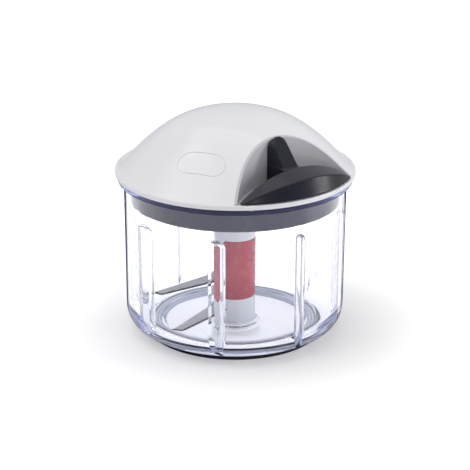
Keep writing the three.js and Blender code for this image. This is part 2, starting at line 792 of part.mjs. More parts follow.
// Closed skin over a stack of rings with the same number of points
function loft(rings) {
  const count = rings[0].length;
  const positions = rings.flat(2);
  const index = [];
  for (let r = 0; r + 1 < rings.length; r += 1) {
    for (let i = 0; i < count; i += 1) {
      const a = r * count + i;
      const b = r * count + ((i + 1) % count);
      index.push(a, b, b + count, a, b + count, a + count);
    }
  }
  const last = (rings.length - 1) * count;
  for (let i = 1; i + 1 < count; i += 1) index.push(0, i + 1, i, last, last + i, last + i + 1);
  const geometry = new THREE.BufferGeometry();
  geometry.setAttribute("position", new THREE.Float32BufferAttribute(positions, 3));
  geometry.setIndex(index);
  return toSolid(geometry);
}

// Central fin: wide at the recess wall, with a narrower straight spine from its rounded top down
// to the grip
function fin() {
  const { lerp, clamp } = THREE.MathUtils;
  const back = -(recessReach + 0.7);
  const footY = -(handleBack - 4);
  const footZ = handleBottom + handleRise - 1.5;
  const insideGrip = -(handleBack + 5);
  const ring = (z, halfBack, halfFront, front) => [
    [-halfBack, back, z], [-halfFront, front, z], [halfFront, front, z], [halfBack, back, z],
  ];
  const rings = [
    ring(handleBottom, finHalf, finSpineFoot, insideGrip),
    ring(footZ - 0.4, finHalf, finSpineFoot, insideGrip),
  ];
  const rows = 9;
  for (let i = 0; i <= rows; i += 1) {
    const climb = Math.sin((Math.PI / 2) * (i / rows));
    const z = lerp(footZ, finTop, climb);
    const rounding = clamp((z - finTop + finRound) / finRound, 0, 1);
    const narrow = Math.max(Math.sqrt(1 - rounding * rounding), 0.25);
    const front = lerp(footY, back - 0.8, climb);
    rings.push(ring(z, finHalf * narrow, lerp(finSpineFoot, finSpineTop, climb) * narrow, front));
  }
  return loft(rings);
}

function handleGrip() {
  const holeLength = knotSetback + 3;
  const cordHole = toSolid(new THREE.CylinderGeometry(eyeletBore, eyeletBore, holeLength, smallFacets)
    .translate(0, knotY + holeLength / 2, cordHeight));
  const cavity = block(pocket.xs, pocket.ys, [handleBottom - 1, pocket.top]);
  return gripBody().add(fin()).subtract(cordHole).subtract(cavity);
}

function knotCover() {
  return block(
    [pocket.xs[0] + seatGap, pocket.xs[1] - seatGap],
    [pocket.ys[0] + seatGap, pocket.ys[1] - seatGap],
    [handleBottom, handleBottom + coverThickness]);
}

function cordKnot() {
  return toSolid(new THREE.SphereGeometry(knotRadius, 12, 8).translate(0, knotY, cordHeight));
}

// The cord's end, from the knot through the fin and the eyelet
function pullCord() {
  const near = knotY + knotRadius + seatGap;
  const far = eyeletBack;
  const cord = new THREE.CylinderGeometry(cordDiameter / 2, cordDiameter / 2, far - near, 12);
  return toSolid(cord.translate(0, (near + far) / 2, cordHeight));
}

// Assembly -------------------------------------------------------------------

const chopper = new THREE.Group();

function put(name, solid, look) {
  const mesh = new THREE.Mesh(toGeometry(solid), new THREE.MeshStandardMaterial(look));
  mesh.name = name;
  chopper.add(mesh);
}

put("bowl", bowl(), finish.clear);
put("base_ring", baseRing(), finish.rubber);
put("centre_pin", centrePin(), finish.steel);
put("blade_shaft", bladeShaft(), finish.white);
put("shaft_sleeve", shaftSleeve(), finish.red);
put("upper_blade", blade(upperBladeHeight, upperBladeAngle, 0), finish.steel);
put("lower_blade", blade(lowerBladeHeight, lowerBladeAngle, 0), finish.steel);
put("lid_dome", lidDome(), finish.white);
put("handle_recess", handleRecess(), finish.greyInsert);
put("cord_eyelet", cordEyelet(), finish.steel);
put("drive_housing", driveHousing(), finish.darkGrey);
put("coupling_bush", couplingBush(), finish.natural);
put("bearing_plate", bearingPlate(), finish.natural);
put("reel_axle", reelAxle(), finish.steel);
put("axle_clip", axleClip(), finish.springSteel);
postAngles.forEach((angle, i) => put(`plate_screw_${i + 1}`, screw(postCircle, angle), finish.steel));
bossAngles.forEach((angle, i) => put(`dome_screw_${i + 1}`, screw(bossCircle, angle), finish.steel));
put("cord_run", cordRun(), finish.cord);
put("cord_reel", cordReel(), finish.natural);
put("wound_cord", woundCord(), finish.cord);
put("return_spring", returnSpring(), finish.springSteel);
put("drive_coupling", driveCoupling(), finish.darkGrey);
put("handle_grip", handleGrip(), finish.charcoal);
put("knot_cover", knotCover(), finish.charcoal);
put("cord_knot", cordKnot(), finish.steel);
put("pull_cord", pullCord(), finish.cord);

export default chopper;
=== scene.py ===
import bpy
import bmesh
import json
import math
from mathutils import Matrix, Vector


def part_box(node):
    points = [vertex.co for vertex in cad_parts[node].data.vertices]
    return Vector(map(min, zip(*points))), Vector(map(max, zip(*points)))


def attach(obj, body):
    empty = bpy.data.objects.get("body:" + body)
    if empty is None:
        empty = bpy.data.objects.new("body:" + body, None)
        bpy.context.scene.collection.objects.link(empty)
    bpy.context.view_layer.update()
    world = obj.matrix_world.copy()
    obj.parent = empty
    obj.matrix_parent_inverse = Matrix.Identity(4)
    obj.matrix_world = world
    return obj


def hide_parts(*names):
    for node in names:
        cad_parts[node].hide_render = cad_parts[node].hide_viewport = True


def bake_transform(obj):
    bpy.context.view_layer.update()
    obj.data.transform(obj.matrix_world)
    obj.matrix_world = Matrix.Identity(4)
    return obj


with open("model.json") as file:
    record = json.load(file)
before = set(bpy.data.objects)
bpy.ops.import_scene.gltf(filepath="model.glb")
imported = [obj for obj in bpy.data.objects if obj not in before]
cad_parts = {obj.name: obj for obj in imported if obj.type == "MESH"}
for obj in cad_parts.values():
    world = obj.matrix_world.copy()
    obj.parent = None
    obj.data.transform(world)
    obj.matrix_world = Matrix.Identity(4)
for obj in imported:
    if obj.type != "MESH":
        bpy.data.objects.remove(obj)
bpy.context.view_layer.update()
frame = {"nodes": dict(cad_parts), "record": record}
nodes = frame["nodes"]
scene = bpy.context.scene
mm = 0.001
turn = 2 * math.pi
crisp = 0.2 * mm  # the common roundings of small moulded edges
soft = 0.3 * mm
near = 1e-6  # closer than this is the same place
print("frame loaded with", len(nodes), "nodes")


def middleOf(name):
    # the middle of a node's box
    return [(low + high) / 2 for low, high in zip(*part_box(name))]


# the main levels and radii, read from the frame
bowlLow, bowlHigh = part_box("bowl")
housingLow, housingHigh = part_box("drive_housing")
gripLow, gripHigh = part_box("handle_grip")
shaftLow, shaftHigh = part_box("blade_shaft")
sleeveLow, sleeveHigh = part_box("shaft_sleeve")
footLow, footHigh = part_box("base_ring")
pinLow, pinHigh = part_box("centre_pin")
eyeletLow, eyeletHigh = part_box("cord_eyelet")
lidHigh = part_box("lid_dome")[1]
lidRadius = lidHigh.x
flangeRadius = bowlHigh.x
rim = bowlHigh.z
cordLevel = middleOf("cord_eyelet")[2]

# camera, with the object a little above the middle of the frame
view = {
    "azimuth": -38,
    "elevation": 20.31,
    "distance": 1.0,
    "aim": 60 * mm,
    "lens": 129.9,
    "sensor": 36,
    "nearest": 0.01,
    "shift": -0.0102,
    "roll": 0.24,
}


def fromCamera(azimuth, elevation, distance):
    # a place round the object, its azimuth counted from the camera towards the camera's right
    angle = math.radians(view["azimuth"] + azimuth)
    rise = math.radians(elevation)
    flat = distance * math.cos(rise)
    return Vector((flat * math.sin(angle), -flat * math.cos(angle), view["aim"] + distance * math.sin(rise)))


def aimed(thing):
    # the turn that points a camera or lamp at the object
    return (Vector((0, 0, view["aim"])) - thing.location).to_track_quat("-Z", "Y")


def makeCamera():
    data = bpy.data.cameras.new("camera")
    camera = bpy.data.objects.new("camera", data)
    scene.collection.objects.link(camera)
    camera.location = fromCamera(0, view["elevation"], view["distance"])
    roll = Matrix.Rotation(math.radians(view["roll"]), 3, "Z")
    camera.rotation_euler = (aimed(camera).to_matrix() @ roll).to_euler()
    data.lens = view["lens"]
    data.sensor_width = view["sensor"]
    data.shift_y = view["shift"]
    data.clip_start = view["nearest"]
    scene.camera = camera


makeCamera()
scene.view_settings.view_transform = "Standard"
print("camera ready")


# the finishes

def tone(red, green, blue):
    # a colour as it shows on screen, 0 to 255, as the linear values the shader wants
    def linear(value):
        value = value / 255
        return value / 12.92 if value <= 0.04045 else ((value + 0.055) / 1.055) ** 2.4
    return (linear(red), linear(green), linear(blue), 1)


def setValues(node, values):
    # a value, or another node's output, into each named input
    for name, value in values.items():
        socket = node.inputs[name]
        if isinstance(value, bpy.types.NodeSocket):
            node.id_data.links.new(value, socket)
        else:
            socket.default_value = value


def startMaterial(name, values):
    material = bpy.data.materials.new(name)
    material.use_nodes = True
    tree = material.node_tree
    shader = tree.nodes["Principled BSDF"]
    setValues(shader, values)
    return material, tree, shader


def addNode(tree, kind, values=None, **settings):
    node = tree.nodes.new(kind)
    for name, value in settings.items():
        setattr(node, name, value)
    setValues(node, values or {})
    return node


def placeOn(tree, scale=(1, 1, 1), turned=(0, 0, 0)):
    # object coordinates, stretched and turned
    coordinates = addNode(tree, "ShaderNodeTexCoord").outputs["Object"]
    values = {"Vector": coordinates, "Scale": scale, "Rotation": turned}
    return addNode(tree, "ShaderNodeMapping", values).outputs["Vector"]


def heightOf(tree, vector):
    return addNode(tree, "ShaderNodeSeparateXYZ", {"Vector": vector}).outputs["Z"]


def fromAxis(tree, vector):
    # how far a place is from the Z axis
    flat = addNode(tree, "ShaderNodeVectorMath", {0: vector, 1: (1, 1, 0)}, operation="MULTIPLY")
    length = addNode(tree, "ShaderNodeVectorMath", {0: flat.outputs["Vector"]}, operation="LENGTH")
    return length.outputs["Value"]


def noise(tree, vector, scale, detail=2.0, roughness=0.5):
    values = {"Vector": vector, "Scale": scale, "Detail": detail, "Roughness": roughness}
    return addNode(tree, "ShaderNodeTexNoise", values).outputs["Fac"]


def between(tree, source, low, high, start=0.3, end=0.7):
    # low where the source is at start, high where it is at end
    values = {"Value": source, "From Min": start, "From Max": end, "To Min": low, "To Max": high}
    return addNode(tree, "ShaderNodeMapRange", values).outputs["Result"]


def calculated(tree, operation, *values):
    return addNode(tree, "ShaderNodeMath", dict(enumerate(values)), operation=operation).outputs[0]


def mixColours(tree, share, first, second):
    values = {"Factor": share, 6: first, 7: second}
    return addNode(tree, "ShaderNodeMix", values, data_type="RGBA").outputs[2]


def mixValues(tree, share, first, second):
    values = {"Factor": share, 2: first, 3: second}
    return addNode(tree, "ShaderNodeMix", values, data_type="FLOAT").outputs[0]


def mixShaders(tree, share, first, second):
    return addNode(tree, "ShaderNodeMixShader", {"Fac": share, 1: first, 2: second}).outputs["Shader"]


def seeThrough(tree, colour=(1, 1, 1, 1)):
    return addNode(tree, "ShaderNodeBsdfTransparent", {"Color": colour}).outputs["BSDF"]


def bump(tree, shader, source, strength, depth):
    node = addNode(tree, "ShaderNodeBump", {"Height": source, "Strength": strength, "Distance": depth})
    setValues(shader, {"Normal": node.outputs["Normal"]})


plasticLook = {"clouds": 45, "sheen": 160, "turned": 0.25}


def mouldedPlastic(name, first, second, roughness, grain, specular=0.5):
    # moulded plastic: two near tones in soft clouds, a varying sheen and a fine eroded grain
    material, tree, shader = startMaterial(name, {"Specular IOR Level": specular})
    where = placeOn(tree)
    clouds = noise(tree, where, plasticLook["clouds"], 3)
    fine = noise(tree, placeOn(tree, grain.get("stretch", (1, 1, 1))), grain["scale"], 4, 0.6)
    setValues(shader, {
        "Base Color": mixColours(tree, clouds, first, second),
        "Roughness": between(tree, noise(tree, where, plasticLook["sheen"], 4), *roughness),
    })
    bump(tree, shader, fine, grain["strength"], grain["depth"])
    if "anisotropy" in grain:
        around = addNode(tree, "ShaderNodeTangent", direction_type="RADIAL", axis="Z")
        setValues(shader, {
            "Anisotropic": grain["anisotropy"],
            "Anisotropic Rotation": plasticLook["turned"],
            "Tangent": around.outputs["Tangent"],
        })
    return material


metalLook = {"lines": 90, "strength": 0.25, "depth": 0.02 * mm, "paintedDarkSidesFrom": (0.3, 0.6)}


def brushedMetal(name, first, second, roughness, stretch, turned=(0, 0, 0), sides=None):
    # ground or turned metal: fine lines along one direction in its colour, sheen and surface
    look = metalLook
    material, tree, shader = startMaterial(name, {"Metallic": 1})
    lines = noise(tree, placeOn(tree, stretch, turned), look["lines"], 5, 0.7)
    colour = mixColours(tree, between(tree, lines, 0, 1), first, second)
    if sides:
        # painted dark reflection: cut sides are coloured darker than the flat faces
        normal = addNode(tree, "ShaderNodeNewGeometry").outputs["Normal"]
        level = calculated(tree, "ABSOLUTE", heightOf(tree, normal))
        colour = mixColours(tree, between(tree, level, 0, 1, *look["paintedDarkSidesFrom"]), sides, colour)
    setValues(shader, {"Base Color": colour, "Roughness": between(tree, lines, *roughness)})
    bump(tree, shader, lines, look["strength"], look["depth"])
    return material


clearLook = {
    "ior": 1.3,
    "gloss": 0.35,
    "roughness": (0.0, 0.02),
    "haze": 70,
    "body": (0.985, 0.988, 1, 1),
    "rim": tone(112, 116, 184),
    # painted dark reflection: the slate tone where the glass is seen edge on, and where it starts
    "edge": tone(60, 66, 84),
    "paintedSlateFrom": (0.84, 0.95),
    # painted dark reflection: the outline's tone and where it starts
    "outline": tone(48, 52, 74),
    "paintedOutlineFrom": (0.835, 0.90),
    "flange": 4.4 * mm,
    "blend": 0.2 * mm,
    "waves": 60,
    "waveRelief": (0.04, 0.25 * mm),
    "shadow": (0.50, 0.51, 0.56, 1),
    "shadowLow": (0.86, 0.87, 0.90, 1),  # in the floor, whose many surfaces would add up
    "shadowFrom": (8 * mm, 9 * mm),
    "depthTint": (0.42, 0.48, 0.95, 1),
    "density": 13,
    "mirrorings": 2.5,  # inner reflections followed before the light passes on
}


def clearBowlPlastic():
    # clear plastic: a painted slate reflection where it is seen edge on, blue-violet in the thick rim flange
    look = clearLook
    material, tree, shader = startMaterial("clear bowl plastic", {
        "Transmission Weight": 1, "IOR": look["ior"], "Coat Weight": look["gloss"],
    })
    where = placeOn(tree)
    height = heightOf(tree, where)
    flangeFoot = rim - look["flange"]
    flange = between(tree, height, 0, 1, flangeFoot - look["blend"], flangeFoot + look["blend"])
    body = mixColours(tree, flange, look["body"], look["rim"])
    facing = addNode(tree, "ShaderNodeLayerWeight", {"Blend": 0.5}).outputs["Facing"]
    # painted dark reflection: the colour turns slate where the surface is seen edge on
    edge = between(tree, facing, 0, 1, *look["paintedSlateFrom"])
    setValues(shader, {
        "Base Color": mixColours(tree, edge, body, look["edge"]),
        "Roughness": between(tree, noise(tree, where, look["haze"], 2), *look["roughness"]),
    })
    waves = noise(tree, placeOn(tree, (1, 1, 0.3)), look["waves"], 1)
    bump(tree, shader, waves, *look["waveRelief"])
    ray = addNode(tree, "ShaderNodeLightPath").outputs
    deep = calculated(tree, "GREATER_THAN", ray["Glossy Depth"], look["mirrorings"])
    glass = mixShaders(tree, deep, shader.outputs["BSDF"], seeThrough(tree))
    # a painted dark reflection as an outline where the outside is seen edge on
    inside = addNode(tree, "ShaderNodeNewGeometry").outputs["Backfacing"]
    line = mixValues(tree, inside, between(tree, facing, 0, 1, *look["paintedOutlineFrom"]), 0.0)
    paintedOutlined = mixShaders(tree, line, glass, seeThrough(tree, look["outline"]))
    # lamps shine through it
    upper = between(tree, height, 0, 1, *look["shadowFrom"])
    passed = seeThrough(tree, mixColours(tree, upper, look["shadowLow"], look["shadow"]))
    tint = addNode(tree, "ShaderNodeVolumeAbsorption", {
        "Color": look["depthTint"], "Density": look["density"],
    })
    setValues(tree.nodes["Material Output"], {
        "Surface": mixShaders(tree, ray["Is Shadow Ray"], paintedOutlined, passed),
        "Volume": tint.outputs["Volume"],
    })
    return material


ringLook = {
    "specular": 0.3,
    "roughness": (0.5, 0.7),
    # painted light: the body's two near white tones and its glow; the rubber itself is near black, as the
    # skin
    "light": tone(242, 245, 250),
    "line": tone(176, 184, 202),
    "glow": 0.28,
    "skin": tone(16, 17, 27),
    "skinInside": 47.8 * mm,
    "skinTop": 4.0 * mm,
    "blend": 0.1 * mm,
    "rings": 170,
    "sheen": 200,
    "grain": 1400,
    "grainRelief": (0.4, 0.08 * mm),
}


def ringRubber():
    # non-slip rubber: a near black skin on its outer foot, its own colour; the body is painted light, near
    # white in fine rings of two pale greys and glowing faintly
    look = ringLook
    inside, top, blend = look["skinInside"], look["skinTop"], look["blend"]
    material, tree, shader = startMaterial("non-slip ring rubber", {
        "Specular IOR Level": look["specular"], "Emission Strength": look["glow"],
    })
    where = placeOn(tree)
    lines = addNode(tree, "ShaderNodeTexWave", {"Vector": where, "Scale": look["rings"], "Distortion": 0.2},
                    wave_type="RINGS", rings_direction="Z")
    body = mixColours(tree, lines.outputs["Fac"], look["line"], look["light"])
    outside = between(tree, fromAxis(tree, where), 0, 1, inside - blend, inside + blend)
    below = between(tree, heightOf(tree, where), 1, 0, top - blend, top + blend)
    colour = mixColours(tree, calculated(tree, "MULTIPLY", outside, below), body, look["skin"])
    setValues(shader, {
        # painted light: the colour also glows, though the ring is no lamp
        "Base Color": colour,
        "Emission Color": colour,
        "Roughness": between(tree, noise(tree, where, look["sheen"], 4), *look["roughness"]),
    })
    bump(tree, shader, noise(tree, where, look["grain"], 4, 0.6), *look["grainRelief"])
    return material


cordLook = {
    "strands": 420,
    "tones": (tone(205, 203, 196), tone(238, 237, 231)),
    "relief": (0.6, 0.15 * mm),
}


def cordMaterial():
    # braided cord: slanting strands in tone and relief
    look = cordLook
    material, tree, shader = startMaterial("braided cord", {"Roughness": 0.85, "Sheen Weight": 0.3})
    values = {"Vector": placeOn(tree), "Scale": look["strands"], "Distortion": 0.6}
    strands = addNode(tree, "ShaderNodeTexWave", values, wave_type="BANDS", bands_direction="DIAGONAL")
    setValues(shader, {"Base Color": mixColours(tree, strands.outputs["Fac"], *look["tones"])})
    bump(tree, shader, strands.outputs["Fac"], *look["relief"])
    return material


satinGrain = {"scale": 900, "strength": 0.10, "depth": 0.05 * mm}
glossGrain = {"scale": 240, "strength": 0.03, "depth": 0.05 * mm}
turnedGrain = {"scale": 60, "strength": 0.3, "depth": 0.0005 * mm, "stretch": (1, 1, 50), "anisotropy": 0.85}
plastics = {
    # name, two tones, roughness, grain, and the specular level where it is low
    "gloss_white": ("gloss white lid", (235, 235, 239), (239, 239, 242), (0.10, 0.16), glossGrain),
    "white_plastic": ("satin white shaft", (228, 228, 233), (236, 236, 239), (0.28, 0.36), satinGrain),
    "red_plastic": ("red sleeve", (176, 58, 76), (186, 66, 84), (0.22, 0.30), satinGrain),
    "grey_plastic": ("satin grey recess", (196, 196, 202), (203, 203, 209), (0.34, 0.42), satinGrain),
    "dark_grey_plastic": ("dark grey housing", (30, 34, 60), (36, 40, 66), (0.27, 0.33), turnedGrain),
    "charcoal_plastic": ("charcoal handle", (26, 26, 37), (31, 31, 42), (0.24, 0.32), satinGrain, 0.25),
    "natural_plastic": ("natural drive plastic", (222, 219, 206), (230, 228, 218), (0.38, 0.48), satinGrain),
}
metals = {
    # name, two tones, roughness, the stretch and turn of the lines, and the tone of cut sides, a painted dark
    # reflection
    "blade_steel": ("ground blade steel", (176, 177, 180), (202, 203, 206), (0.24, 0.36), (1, 26, 26),
                    (0, 0, math.radians(5)), tone(58, 54, 58)),
    "steel": ("turned steel", (186, 187, 189), (210, 211, 213), (0.20, 0.32), (1, 1, 30)),
    "spring_steel": ("blued spring steel", (88, 92, 102), (120, 124, 134), (0.28, 0.40), (1, 1, 24)),
    "screw_steel": ("zinc-plated screw", (190, 192, 196), (214, 216, 220), (0.25, 0.38), (8, 8, 8)),
}
finish = {"clear_plastic": clearBowlPlastic(), "grip_rubber": ringRubber(), "cord": cordMaterial()}
for make, table in ((mouldedPlastic, plastics), (brushedMetal, metals)):
    for slot, (name, first, second, *rest) in table.items():
        finish[slot] = make(name, tone(*first), tone(*second), *rest)
print("finishes ready:", len(finish))


# helpers that build and combine meshes

def wire(corners, closed=False):
    # an outline of (radius, height, rounding) corners in the XZ plane, its corners rounded by a bevel
    bm = bmesh.new()
    verts = [bm.verts.new((corner[0], 0, corner[1])) for corner in corners]
    for first, second in zip(verts, verts[1:]):
        bm.edges.new((first, second))
    if closed:
        bm.edges.new((verts[-1], verts[0]))
    roundings = {}
    for vert, corner in zip(verts, corners):
        if len(corner) > 2:
            roundings.setdefault(corner[2], []).append(vert)
    for rounding, picked in roundings.items():
        segments = 3 if rounding < 1 * mm else 12
        bmesh.ops.bevel(bm, geom=picked, affect="VERTICES", offset=rounding, offset_type="OFFSET",
                        segments=segments, profile=0.5, material=-1, clamp_overlap=True)
    return bm


def tidyFaces(bm):
    bmesh.ops.remove_doubles(bm, verts=bm.verts, dist=near)
    bmesh.ops.recalc_face_normals(bm, faces=bm.faces)
    return bm


def spun(corners, closed=False, steps=160):
    # an outline spun a full turn about the axis; an open one starts and ends on the axis
    bm = wire(corners, closed)
    bmesh.ops.spin(bm, geom=bm.verts[:] + bm.edges[:], cent=(0, 0, 0), axis=(0, 0, 1),
                   angle=turn, steps=steps, use_merge=True, use_duplicate=False)
    return tidyFaces(bm)


def rod(radius, low, high, centre=(0, 0), steps=48):
    bm = bmesh.new()
    middle = Matrix.Translation((*centre, (low + high) / 2))
    bmesh.ops.create_cone(bm, cap_ends=True, segments=steps, radius1=radius, radius2=radius,
                          depth=high - low, matrix=middle)
    return bm


def slab(*spans):
    # a box from its spans in X, Y and Z
    bm = bmesh.new()
    size = Matrix.Diagonal([high - low for low, high in spans] + [1])
    middle = Matrix.Translation([(low + high) / 2 for low, high in spans])
    bmesh.ops.create_cube(bm, size=1, matrix=middle @ size)
    return bm


def raised(bm, by):
    # a flat shape raised into a solid
    made = bmesh.ops.extrude_face_region(bm, geom=bm.faces[:])
    far = [item for item in made["geom"] if isinstance(item, bmesh.types.BMVert)]
    bmesh.ops.translate(bm, verts=far, vec=by)
    return tidyFaces(bm)


def rounded(bm, edges, width, segments, clamp=False):
    bmesh.ops.bevel(bm, geom=edges, affect="EDGES", offset=width, offset_type="OFFSET", segments=segments,
                    profile=0.5, material=-1, clamp_overlap=clamp)
    return bm


def moved(bm, matrix):
    bmesh.ops.transform(bm, matrix=matrix, verts=bm.verts)
    return bm


def turnedBy(angle, axis="Z"):
    return Matrix.Rotation(angle, 4, axis)


def joined(parts):
    # separate shapes gathered in one mesh
    whole = bmesh.new()
    for part in parts:
        mesh = bpy.data.meshes.new("part")
        part.to_mesh(mesh)
        part.free()
        whole.from_mesh(mesh)
        bpy.data.meshes.remove(mesh)
    return whole


def asObject(name, bm):
    mesh = bpy.data.meshes.new(name)
    bm.to_mesh(mesh)
    bm.free()
    piece = bpy.data.objects.new(name, mesh)
    scene.collection.objects.link(piece)
    return piece


def asShape(piece):
    # an object's mesh handed over as a shape, and the object used up
    bm = bmesh.new()
    bm.from_mesh(piece.data)
    bpy.data.objects.remove(piece)
    return bm


def settled(piece):
    # the piece's modifiers made part of its mesh
    bpy.context.view_layer.update()
    shown = piece.evaluated_get(bpy.context.evaluated_depsgraph_get())
    mesh = bpy.data.meshes.new_from_object(shown)
    old = piece.data
    piece.modifiers.clear()
    piece.data = mesh
    bpy.data.meshes.remove(old)
    return piece


def combine(piece, tool, operation="DIFFERENCE"):
    # the piece cut by, joined to or kept within a tool shape, which is used up
    cutter = asObject("tool", tool)
    modifier = piece.modifiers.new("combine", "BOOLEAN")
    modifier.operation = operation
    modifier.object = cutter
    modifier.solver = "MANIFOLD"
    settled(piece)
    mesh = cutter.data
    bpy.data.objects.remove(cutter)
    bpy.data.meshes.remove(mesh)
    return piece


def shade(piece, angle=32):
    piece.data.shade_smooth()
    piece.data.set_sharp_from_angle(angle=math.radians(angle))
    return piece


def place(piece, slot, body, node):
    # finish, motion and the CAD node that the piece stands for
    piece.data.materials.clear()
    piece.data.materials.append(finish[slot])
    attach(piece, body)
    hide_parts(node)
    print("made", piece.name, len(piece.data.polygons), "faces")
    return piece


def heading(angle):
    # a direction in plan, in degrees from the front towards +X
    return Vector((math.sin(math.radians(angle)), -math.cos(math.radians(angle)), 0))


# the bowl, its non-slip ring and the pin in its floor

bowlSize = {
    "draft": 0.7 * mm,
    "wall": 2.6 * mm,
    "flangeWidth": 3.6 * mm,
    "flangeHeight": 3.2 * mm,
    "flangeRound": 0.7 * mm,
    "rimRound": 0.6 * mm,
    "corner": 13.4 * mm,
    "cornerLift": 1.0 * mm,
    "innerCorner": 12.3 * mm,
    "ledge": 0.9 * mm,
    "ledgeGap": 0.5 * mm,
    "ledgeSlope": 0.7,
    "floor": 2.6 * mm,
    "floorStep": 2.5 * mm,
    "stepSlope": 0.6,
    "floorDisc": 41 * mm,
    "floorRound": 0.7 * mm,
    "footRing": 14.6 * mm,
    "footRingHeight": 0.6 * mm,
    "footRingWidth": 0.8 * mm,
    "footRingSlope": 0.4 * mm,
    "pinBoss": 6.4 * mm,
    "pinBossHeight": 2.4 * mm,
    "pinSeat": 1.4 * mm,
    "gap": 0.3 * mm,
    "bond": 0.03 * mm,  # the ring is bonded into its groove
    "steps": 192,
}
footSize = {"width": 6 * mm, "rounding": 0.35 * mm, "lip": 2.2 * mm, "lipTop": 2.4 * mm}
bowlRib = {
    "count": 8,
    "first": -49,
    "slant": 45,
    "length": 7.8 * mm,
    "thickness": 4.6 * mm,
    "wall": 1.1 * mm,
    "foot": 0.8 * mm,
    "headroom": 4.2 * mm,
    "shoulder": 6.8 * mm,
    "edge": 1.9 * mm,
    "innerEdge": 1.0 * mm,
    "inset": 0.6 * mm,  # how deep in the wall it starts
    "mouth": 3 * mm,  # how far its hollow runs out past that
}
rimRadius = flangeRadius - bowlSize["flangeWidth"]
wallRadius = rimRadius - bowlSize["draft"]
under = bowlLow.z
floorTop = under + bowlSize["floor"]
ringTop = floorTop + bowlSize["floorStep"]
bossTop = floorTop + bowlSize["pinBossHeight"]


def bowlOutline():
    size = bowlSize
    bond = size["bond"]
    grooveIn = -footLow.x - footSize["width"] + bond
    grooveOut = -footLow.x - bond
    grooveTop = footHigh.z - bond
    flangeBottom = rim - size["flangeHeight"]
    pinHole = pinHigh.x + size["gap"]
    pinSeat = under + size["pinSeat"]
    cornerFoot = under + size["cornerLift"]
    innerWall = wallRadius - size["wall"]
    ledgeEdge = innerWall - size["innerCorner"] - size["ledgeGap"]
    footTop = floorTop + size["footRingHeight"]
    footInside = size["footRing"] - size["footRingWidth"]
    slope = size["footRingSlope"]
    return [
        (0, under),
        (grooveIn, under, soft),
        (grooveIn, grooveTop, soft),
        (grooveOut, grooveTop, soft),
        (grooveOut, cornerFoot, soft),
        (wallRadius, cornerFoot, size["corner"]),
        (rimRadius - 0.1 * mm, flangeBottom, 0.8 * mm),
        (flangeRadius, flangeBottom, size["flangeRound"]),
        (flangeRadius, rim, size["flangeRound"]),
        (rimRadius - size["wall"], rim, size["rimRound"]),
        (innerWall, ringTop + size["ledge"], size["innerCorner"]),
        (ledgeEdge, ringTop + size["ledge"], soft),
        (ledgeEdge - size["ledge"] * size["ledgeSlope"], ringTop, soft),
        (size["floorDisc"] + size["floorStep"] * size["stepSlope"], ringTop, size["floorRound"]),
        (size["floorDisc"], floorTop, size["floorRound"]),
        (size["footRing"] + slope, floorTop, crisp),
        (size["footRing"], footTop, soft),
        (footInside, footTop, soft),
        (footInside - slope, floorTop, crisp),
        (size["pinBoss"] + 0.5 * mm, floorTop, 0.6 * mm),
        (size["pinBoss"], bossTop, 0.5 * mm),
        (pinHole, bossTop, soft),
        (pinHole, pinSeat, soft),
        (0, pinSeat),
    ]


def ribTongue(length, thickness, low, high, shoulder, edge, start):
    # one rib's form: a tongue with a round inner edge and a rounded top corner, before it is turned
    bm = wire([(start, low), (length, low), (length, high, shoulder), (start, high)], True)
    bmesh.ops.contextual_create(bm, geom=bm.edges[:])
    bmesh.ops.translate(bm, verts=bm.verts, vec=(0, -thickness / 2, 0))
    raised(bm, (0, thickness, 0))
    sides = [e for e in bm.edges if abs(e.verts[0].co.y - e.verts[1].co.y) < near
             and max(v.co.x for v in e.verts) > start + near
             and max(v.co.z for v in e.verts) > low + near]
    return tidyFaces(rounded(bm, sides, edge, 6, True))


def ribsAround(inset, low, high, edge, start):
    # all the ribs, or with an inset their hollows
    rib = bowlRib
    form = (rib["length"] - inset, rib["thickness"] - 2 * inset, low, high - inset, rib["shoulder"] - inset)
    ribs = []
    for i in range(rib["count"]):
        angle = rib["first"] + 360 / rib["count"] * i
        inward = heading(angle + 180 - rib["slant"])
        foot = heading(angle) * (wallRadius - rib["inset"])
        turned = turnedBy(math.atan2(inward.y, inward.x))
        ribs.append(moved(ribTongue(*form, edge, start), Matrix.Translation(foot) @ turned))
    return joined(ribs)


def makeBowl():
    rib = bowlRib
    steps = bowlSize["steps"]
    low = under + rib["foot"]
    high = housingLow.z - rib["headroom"]
    shell = asObject("clearBowl", spun(bowlOutline(), steps=steps))
    tongues = asObject("tongues", ribsAround(0, low, high, rib["edge"], 0))
    inset = rib["inset"]
    fillFoot = under + bowlSize["cornerLift"] + inset
    fillTop = rim - bowlSize["flangeHeight"]
    fill = spun([
        (0, fillFoot), (wallRadius - inset, fillFoot, bowlSize["corner"] - inset),
        (wallRadius - inset * 0.6, fillTop), (0, fillTop),
    ], steps=steps)
    combine(tongues, fill, "INTERSECT")
    combine(shell, asShape(tongues), "UNION")
    combine(shell, ribsAround(rib["wall"], low, high, rib["innerEdge"], -rib["mouth"]))
    return place(shade(shell, 28), "clear_plastic", "bowl", "bowl")


def makeFoot():
    outer = -footLow.x
    inner = outer - footSize["width"]
    rounding = footSize["rounding"]
    lip = outer + footSize["lip"]
    ring = spun([
        (inner, 0, rounding), (lip, 0, rounding), (lip, footSize["lipTop"], rounding),
        (outer, footSize["lipTop"]), (outer, footHigh.z), (inner, footHigh.z),
    ], True)
    return place(shade(asObject("nonSlipRing", ring)), "grip_rubber", "bowl", "base_ring")


def makePin():
    # a steel pin with a tapered, rounded tip
    radius = pinHigh.x
    pin = spun([
        (0, pinLow.z), (radius, pinLow.z, 0.4 * mm), (radius, pinHigh.z - 1.4 * mm, soft),
        (radius * 0.55, pinHigh.z, 0.6 * mm), (0, pinHigh.z),
    ], steps=48)
    return place(shade(asObject("centrePin", pin)), "steel", "bowl", "centre_pin")


makeBowl()
makeFoot()
makePin()

# the blade unit

